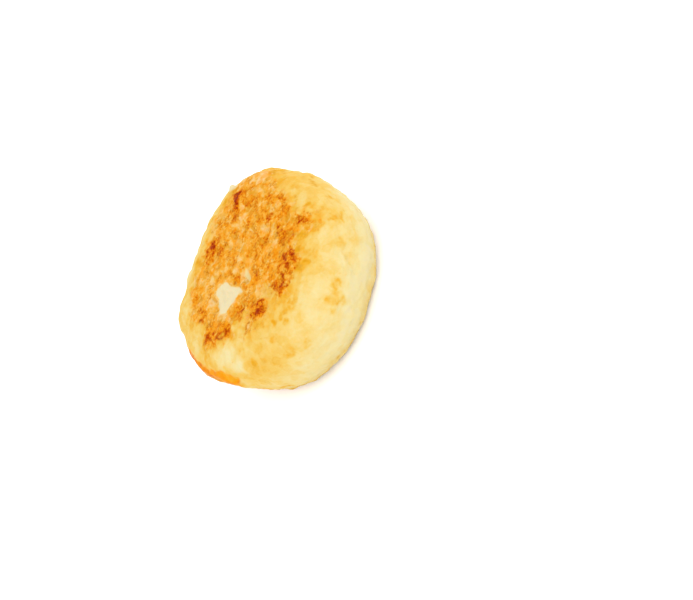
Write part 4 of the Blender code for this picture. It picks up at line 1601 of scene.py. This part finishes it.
@dataclass(frozen=True)
class FriedDough:
    """The finish of fried curd dough: a ramp for the dough and one for its crust, granular and soft.

    Colours are screen colours. A pattern's weights say how much it changes the crust's tone: everywhere,
    by how much more on rough crust, and by how much more on dark crust.
    """

    # From the palest curd to deep gold.
    dough_ramp: tuple = (
        (0, (243, 227, 183)), (0.2, (248, 230, 168)), (0.4, (248, 219, 140)), (0.58, (247, 206, 107)),
        (0.72, (246, 194, 82)), (0.86, (245, 183, 58)), (1, (243, 176, 40)), (1.2, (228, 162, 24)),
    )
    # From a peach blush to scorched.
    crust_ramp: tuple = (
        (0, (250, 212, 150)), (0.16, (250, 197, 104)), (0.32, (250, 182, 68)), (0.46, (247, 168, 42)),
        (0.6, (241, 150, 16)), (0.72, (231, 128, 2)), (0.84, (217, 106, 0)), (0.96, (203, 86, 0)),
        (1.1, (182, 62, 0)), (1.2, (160, 42, 0)),
    )
    oil_ramp: tuple = (
        (0, (248, 184, 50)), (0.25, (252, 172, 26)), (0.5, (254, 160, 10)), (0.8, (240, 136, 14)),
        (1, (206, 92, 4)),
    )
    rough_tones: tuple = (0.0, 0.3)
    dark_tones: tuple = (0.25, 0.75)

    # The small crusty grains lie along the face, a little longer one way, with darker gaps in soft spots.
    warp_size: float = 0.9 * MM
    warp_reach: float = 0.6 * MM
    granule_size: float = 1.0 * MM
    granule_turn: float = -14.0
    granule_stretch: tuple = (1.5, 1.0, 1.0)
    granule_weights: tuple = (0.0, 0.05, 0.14)
    gap_widths: tuple = (0.03, 0.16)
    gap_weights: tuple = (0.0, 0.06, 0.20)
    patchy_size: float = 2.6 * MM
    patchy_levels: tuple = (0.42, 0.60)
    fleck_size: float = 0.42 * MM
    fine_size: float = 0.85 * MM
    fleck_weights: tuple = (0.08, 0.08, 0.30)
    # Patches and small bits of an even tone, with crisp edges.
    patch_size: float = 2.0 * MM
    patch_levels: tuple = (0.46, 0.54)
    patch_weights: tuple = (0.04, 0.15, 0.0)
    bit_size: float = 0.7 * MM
    bit_levels: tuple = (0.44, 0.56)
    bit_weights: tuple = (0.0, 0.09, 0.18)
    speck_weight: float = 0.10
    # How much fine noise, patches and bits change the tone of the dough and of the oily crust.
    dough_weights: tuple = (0.10, 0.04, 0.03)
    dough_speck_weight: float = 0.25
    oil_weights: tuple = (0.4, 0.12, 0.10)

    # The crust leans to olive in some places and to orange in others, up to the tones where it is brown.
    tint_size: float = 2.4 * MM
    tint_share: float = 0.45
    tint_tones: tuple = (0.6, 0.9)
    olive: tuple = (224, 160, 36)
    olive_levels: tuple = (0.55, 0.66)
    orange: tuple = (254, 160, 14)
    orange_levels: tuple = (0.36, 0.46)

    # The thin lines are olive on dough and brown on crust.
    line_size: float = 1.1 * MM
    line_width: float = 0.040
    line_core: float = 0.2
    line_colours: tuple = ((208, 152, 50), (176, 84, 0))
    line_tones: tuple = (0.1, 0.5)
    crust_line_share: float = 0.62
    dark_line_loss: float = 0.14
    dough_line_share: float = 0.35
    dough_line_tones: tuple = (0.55, 0.85)
    speck_share: float = 0.45

    bump_size: float = 0.30 * MM
    bump_height: float = 0.05 * MM
    bump_strength: float = 0.5
    roughness: float = 0.55
    oily_gloss: float = 0.12
    fine_roughness: float = 0.10
    glow: float = 0.15
    glow_reach: float = 1.6 * MM
    glow_colour: tuple = (1.0, 0.45, 0.2)
    reflection: float = 0.015

    def patterns(self, wiring: Wiring) -> Patterns:
        """The fine patterns.

        Args:
            wiring: The material's nodes.

        Returns:
            The patterns and the skin's marks.
        """
        marks = {mark: wiring.mark(mark) for mark in Mark}
        place = wiring.place()
        bent = wiring.warped(place, self.warp_size, self.warp_reach)
        grained = wiring.turned(bent, self.granule_turn, self.granule_stretch)
        return Patterns(
            marks=marks,
            place=place,
            grained=grained,
            fleck=wiring.noise(place, self.fleck_size) - 0.5,
            fine=wiring.noise(place, self.fine_size) - 0.5,
            patch=wiring.noise(bent, self.patch_size, detail=1.0).rise(*self.patch_levels) - 0.5,
            bit=wiring.noise(bent, self.bit_size, detail=1.0).rise(*self.bit_levels) - 0.5,
            granule=wiring.cells(grained, self.granule_size) - 0.5,
            gap=1.0 - wiring.cell_edges(grained, self.granule_size).rise(*self.gap_widths),
            patchy=wiring.noise(place, self.patchy_size, detail=1.0).rise(*self.patchy_levels),
            rough=marks[Mark.CRUST].rise(*self.rough_tones),
            dark=marks[Mark.CRUST].rise(*self.dark_tones),
        )

    def with_patterns(self, tone: Value, patterns: Patterns, weights: tuple) -> Value:
        """A tone with fine noise, patches and bits added by their weights."""
        fine, patch, bit = weights
        return tone + patterns.fine * fine + patterns.patch * patch + patterns.bit * bit

    def crust_tone(self, patterns: Patterns) -> Value:
        """How brown the crust is, with all its patterns.

        Args:
            patterns: The patterns.

        Returns:
            The level on the crust's ramp.
        """
        grain = (patterns.fleck + patterns.fine) * patterns.weight(*self.fleck_weights)
        grain = grain + patterns.granule * patterns.weight(*self.granule_weights)
        grain = grain + patterns.patch * patterns.weight(*self.patch_weights)
        grain = grain + patterns.bit * patterns.weight(*self.bit_weights)
        grain = grain + patterns.gap * patterns.patchy * patterns.weight(*self.gap_weights)
        return patterns.marks[Mark.CRUST] + (grain + patterns.marks[Mark.SPECK] * self.speck_weight)

    def tones(self, wiring: Wiring, patterns: Patterns, golden: Value) -> Value:
        """The colour without the thin lines: dough, the crust over it, and the oily crust over both.

        Args:
            wiring: The material's nodes.
            patterns: The patterns.
            golden: How golden the dough is.

        Returns:
            The colour.
        """
        crust = patterns.marks[Mark.CRUST]
        tint = wiring.noise(patterns.place, self.tint_size, detail=1.0)
        tinted = self.tint_share - self.tint_share * crust.rise(*self.tint_tones)
        to_olive = tinted * tint.rise(*self.olive_levels)
        to_orange = tinted * (1.0 - tint.rise(*self.orange_levels))
        brown = wiring.ramp(self.crust_ramp, self.crust_tone(patterns))
        brown = wiring.mix(to_olive, brown, seen(*self.olive))
        brown = wiring.mix(to_orange, brown, seen(*self.orange))
        plain = wiring.mix(patterns.marks[Mark.FRIED], wiring.ramp(self.dough_ramp, golden), brown)
        oily = wiring.ramp(self.oil_ramp, self.with_patterns(crust, patterns, self.oil_weights))
        return wiring.mix(patterns.marks[Mark.OILY], plain, oily)

    def lined(self, wiring: Wiring, patterns: Patterns, golden: Value, colour: Value) -> Value:
        """The colour with thin lines over it, where noise crosses its middle and where the specks are.

        Args:
            wiring: The material's nodes.
            patterns: The patterns.
            golden: How golden the dough is.
            colour: The colour under the lines.

        Returns:
            The whole colour.
        """
        fried = patterns.marks[Mark.FRIED]
        crossing = wiring.noise(patterns.grained, self.line_size, detail=1.0) - 0.5
        thin = 1.0 - (crossing * crossing).rise(self.line_core * self.line_width**2, self.line_width**2)
        on_crust = fried * patterns.rough * (self.crust_line_share - self.dark_line_loss * patterns.dark)
        on_dough = self.dough_line_share * golden.rise(*self.dough_line_tones) * (1.0 - fried)
        lines = thin * patterns.patchy * (on_crust + on_dough)
        brown = fried * patterns.marks[Mark.CRUST].rise(*self.line_tones)
        line_colour = wiring.mix(brown, *[seen(*part) for part in self.line_colours])
        return wiring.mix(self.speck_share * patterns.marks[Mark.SPECK] + lines, colour, line_colour)

    def make(self) -> bpy.types.Material:
        """Makes the material: its colour, its gloss, its finest bumps and its soft glow.

        Returns:
            The material.
        """
        material = bpy.data.materials.new(Slot.FRIED_DOUGH.value)
        wiring = Wiring(material)
        patterns = self.patterns(wiring)
        golden = self.with_patterns(patterns.marks[Mark.DOUGH], patterns, self.dough_weights)
        golden = golden + patterns.marks[Mark.SPECK] * self.dough_speck_weight
        colour = self.lined(wiring, patterns, golden, self.tones(wiring, patterns, golden))
        height = wiring.noise(patterns.place, self.bump_size, detail=3.0)
        bump = {"Strength": self.bump_strength, "Distance": self.bump_height, "Height": height}
        roughness = self.roughness - self.oily_gloss * patterns.marks[Mark.OILY]
        shader = wiring.shader.inputs
        wiring.put(shader["Base Color"], colour)
        wiring.put(shader["Roughness"], roughness + self.fine_roughness * patterns.fine)
        wiring.put(shader["Normal"], wiring.add("ShaderNodeBump", {}, bump, "Normal"))
        shader["Subsurface Weight"].default_value = self.glow
        shader["Subsurface Radius"].default_value = self.glow_colour
        shader["Subsurface Scale"].default_value = self.glow_reach
        shader["Specular IOR Level"].default_value = self.reflection
        return material


# ---------- The pieces ----------


def cube_sphere(steps: int) -> tuple[Array, Array]:
    """A cube's six faces, each a square grid, blown up to a unit sphere and joined at their edges.

    A grid's two parameters run from -45 to 45 degrees, and their tangents are the place on the cube's
    face. A point that several grids share is kept once.

    Args:
        steps: The number of squares along each side of a face.

    Returns:
        The unit directions, and four corners for each square, turned outwards.
    """
    tick = np.arange(steps + 1)
    first, second = np.meshgrid(tick, tick, indexing="ij")
    corners = []
    squares = []
    for axis, end in itertools.product(range(3), (0, steps)):
        grid = np.empty((steps + 1, steps + 1, 3), dtype=np.int64)
        grid[..., axis] = end
        grid[..., (axis + 1) % 3] = first
        grid[..., (axis + 2) % 3] = second
        number = np.arange((steps + 1) ** 2).reshape(steps + 1, steps + 1) + len(corners) * (steps + 1) ** 2
        square = np.stack([number[:-1, :-1], number[1:, :-1], number[1:, 1:], number[:-1, 1:]], axis=-1)
        square = square.reshape(-1, 4)
        squares.append(square if end else square[:, ::-1])
        corners.append(grid.reshape(-1, 3))
    places, kept = np.unique(np.concatenate(corners), axis=0, return_inverse=True)
    swing = np.tan((places / steps * 2 - 1) * math.pi / 4)
    directions = swing / np.linalg.norm(swing, axis=1, keepdims=True)
    return directions, kept.reshape(-1)[np.concatenate(squares)]


def make_piece(
    name: str, points: Array, faces: Array, marks: dict[Mark, Array], material: bpy.types.Material
) -> bpy.types.Object:
    """A smooth mesh piece of the object, riding on the body.

    Args:
        name: The piece's name.
        points: Its points in metres.
        faces: The corners of its faces.
        marks: The numbers that its points carry.
        material: Its finish.

    Returns:
        The new object, at the origin.
    """
    mesh = bpy.data.meshes.new(name)
    mesh.from_pydata(points, [], faces.tolist())
    mesh.materials.append(material)
    mesh.shade_smooth()
    for mark, numbers in marks.items():
        attribute = mesh.attributes.new(mark.value, "FLOAT", "POINT")
        attribute.data.foreach_set("value", np.ascontiguousarray(numbers, dtype=np.float32))
    piece = bpy.data.objects.new(name, mesh)
    bpy.context.scene.collection.objects.link(piece)
    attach(piece, Body.ROOT.value)
    LOG.info("%s: %d points, %d faces", name, len(points), len(faces))
    return piece


@dataclass
class Syrnik:
    """The whole puck: its form, its browning, its fine relief and its finish."""

    form: PuckForm = PuckForm()
    browning: Browning = Browning()
    relief: FineRelief = FineRelief()
    finish: FriedDough = FriedDough()
    steps: int = 128
    crowding: float = 0.7
    # The height in millimetres over which the fine relief starts at the foot.
    foot_height: float = 0.6

    def spread(self, directions: Array) -> tuple[Array, Array]:
        """Spreads directions over the profile.

        The share is half of one less the direction's height, pressed towards the top by a mix of
        itself and its square, so that the top has more points than the base.

        Args:
            directions: Unit directions, one a row.

        Returns:
            The azimuth and the share of the profile's area for each.
        """
        azimuth = np.arctan2(directions[:, 1], directions[:, 0])
        share = (1 - directions[:, 2]) / 2
        return azimuth, share * (1 - self.crowding) + share**2 * self.crowding

    def settle(self, skin: Skin) -> tuple[Array, Array]:
        """How the skin is brought to the solid's box.

        Args:
            skin: The skin, about the puck's own axis.

        Returns:
            The shift and the scale, each along x, y and z.
        """
        low = skin.points.min(axis=0)
        high = skin.points.max(axis=0)
        box_low, box_high = (np.array(corner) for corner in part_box(Node.SYRNIK.value))
        scale = np.array([1, 1, (box_high[2] - box_low[2]) / (high[2] - low[2])])
        shift = (box_low + box_high) / 2 - (low + high) / 2 * scale
        return shift, scale

    def build(self) -> Vector:
        """Makes the skin, with its fine relief and its marks.

        Returns:
            The middle of the puck's axis, in the frame.
        """
        directions, faces = cube_sphere(self.steps)
        skin = self.form.skin(*self.spread(directions))
        shift, scale = self.settle(skin)
        marks = self.browning.marks(skin)
        rise = self.relief.rise(skin, marks)
        on_side = smooth_step(skin.height, 0.0, self.foot_height) * (1 - skin.on_base)
        rise *= on_side + skin.on_base * (rise < 0)
        points = (skin.points + rise[:, None] * skin.outward) * scale + shift
        points[:, 2] = np.maximum(points[:, 2], 0)
        piece = make_piece("syrnik_skin", points, faces, marks, self.finish.make())
        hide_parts(Node.SYRNIK.value)
        return Vector((shift[0], shift[1], self.form.thickness / 2))


# ---------- The stage ----------


@dataclass(frozen=True)
class PhotoView:
    """The camera, placed as the photo sees the piece.

    The picture is 693 by 600 pixels. The puck's middle lies at a pixel of it, its face leans away from
    the camera by the tilt, and its axis points along the roll in the picture, counted from the right.
    """

    width: float = 693
    height: float = 600
    lens: float = 71.0
    sensor: float = 36.0
    middle_x: float = 274.5
    middle_y: float = 279.9
    tilt: float = 50.0
    roll: float = 156.0
    distance: float = 390 * MM
    nearest: float = 10 * MM
    farthest: float = 20

    def place(self, middle: Vector) -> None:
        """Makes the camera.

        The rows of the turn are the part's axes as the camera sees them: the puck's axis from the tilt
        and the roll, and its x across that.

        Args:
            middle: The middle of the puck's axis.
        """
        tilt = math.radians(self.tilt)
        roll = math.radians(self.roll)
        up = Vector((math.sin(tilt) * math.cos(roll), math.sin(tilt) * math.sin(roll), math.cos(tilt)))
        across = Vector((math.sin(roll), -math.cos(roll), 0))
        turn = Matrix((across, up.cross(across), up))
        reach = self.lens / self.sensor * self.width
        right = (self.middle_x - self.width / 2) / reach * self.distance
        down = (self.middle_y - self.height / 2) / reach * self.distance
        data = bpy.data.cameras.new("camera")
        data.lens = self.lens
        data.sensor_width = self.sensor
        data.clip_start = self.nearest
        data.clip_end = self.farthest
        camera = bpy.data.objects.new("camera", data)
        stand = middle - turn @ Vector((right, -down, -self.distance))
        camera.matrix_world = Matrix.Translation(stand) @ turn.to_4x4()
        bpy.context.scene.collection.objects.link(camera)
        bpy.context.scene.camera = camera


@dataclass(frozen=True)
class Studio:
    """A plain white floor under soft, bright light."""

    floor_size: float = 4.0
    floor_drop: float = 0.05 * MM
    floor_white: float = 0.90
    floor_roughness: float = 0.9
    sky: float = 1.8
    # Soft lights: where they stand, how wide they are, and their power.
    lamps: tuple = (
        ("key", (0.80, -0.51, 0.60), 0.80, 3.0),
        ("fill", (-0.75, -0.75, 0.25), 0.80, 2.5),
    )

    def floor(self) -> None:
        """Makes the floor, a plain square just under the puck."""
        half = self.floor_size / 2
        corners = [(-half, -half), (half, -half), (half, half), (-half, half)]
        mesh = bpy.data.meshes.new("floor")
        mesh.from_pydata([(x, y, -self.floor_drop) for x, y in corners], [], [(0, 1, 2, 3)])
        material = bpy.data.materials.new("floor_white")
        wiring = Wiring(material)
        wiring.put(wiring.shader.inputs["Base Color"], (*[self.floor_white] * 3, 1))
        wiring.put(wiring.shader.inputs["Roughness"], self.floor_roughness)
        mesh.materials.append(material)
        floor = bpy.data.objects.new("floor", mesh)
        bpy.context.scene.collection.objects.link(floor)

    def lights(self) -> None:
        """Makes an even sky, and large soft lights that look at the puck."""
        world = bpy.data.worlds.new("studio")
        world.use_nodes = True
        background = world.node_tree.nodes["Background"]
        background.inputs["Color"].default_value = (1, 1, 1, 1)
        background.inputs["Strength"].default_value = self.sky
        bpy.context.scene.world = world

        for name, place, size, power in self.lamps:
            data = bpy.data.lights.new(name, "AREA")
            data.shape = "DISK"
            data.size = size
            data.energy = power
            light = bpy.data.objects.new(name, data)
            light.location = place
            light.rotation_euler = (-Vector(place)).to_track_quat("-Z", "Y").to_euler()
            bpy.context.scene.collection.objects.link(light)

    def exposure(self) -> None:
        """Sets plain screen colours, with no film curve."""
        bpy.context.scene.view_settings.view_transform = "Standard"
        bpy.context.scene.view_settings.look = "None"


def main() -> None:
    """Builds the syrnik and its stage."""
    logging.basicConfig(level=logging.INFO, format="%(name)s %(message)s")
    middle = Syrnik().build()
    studio = Studio()
    studio.floor()
    studio.lights()
    studio.exposure()
    PhotoView().place(middle)


if __name__ == "__main__":
    main()
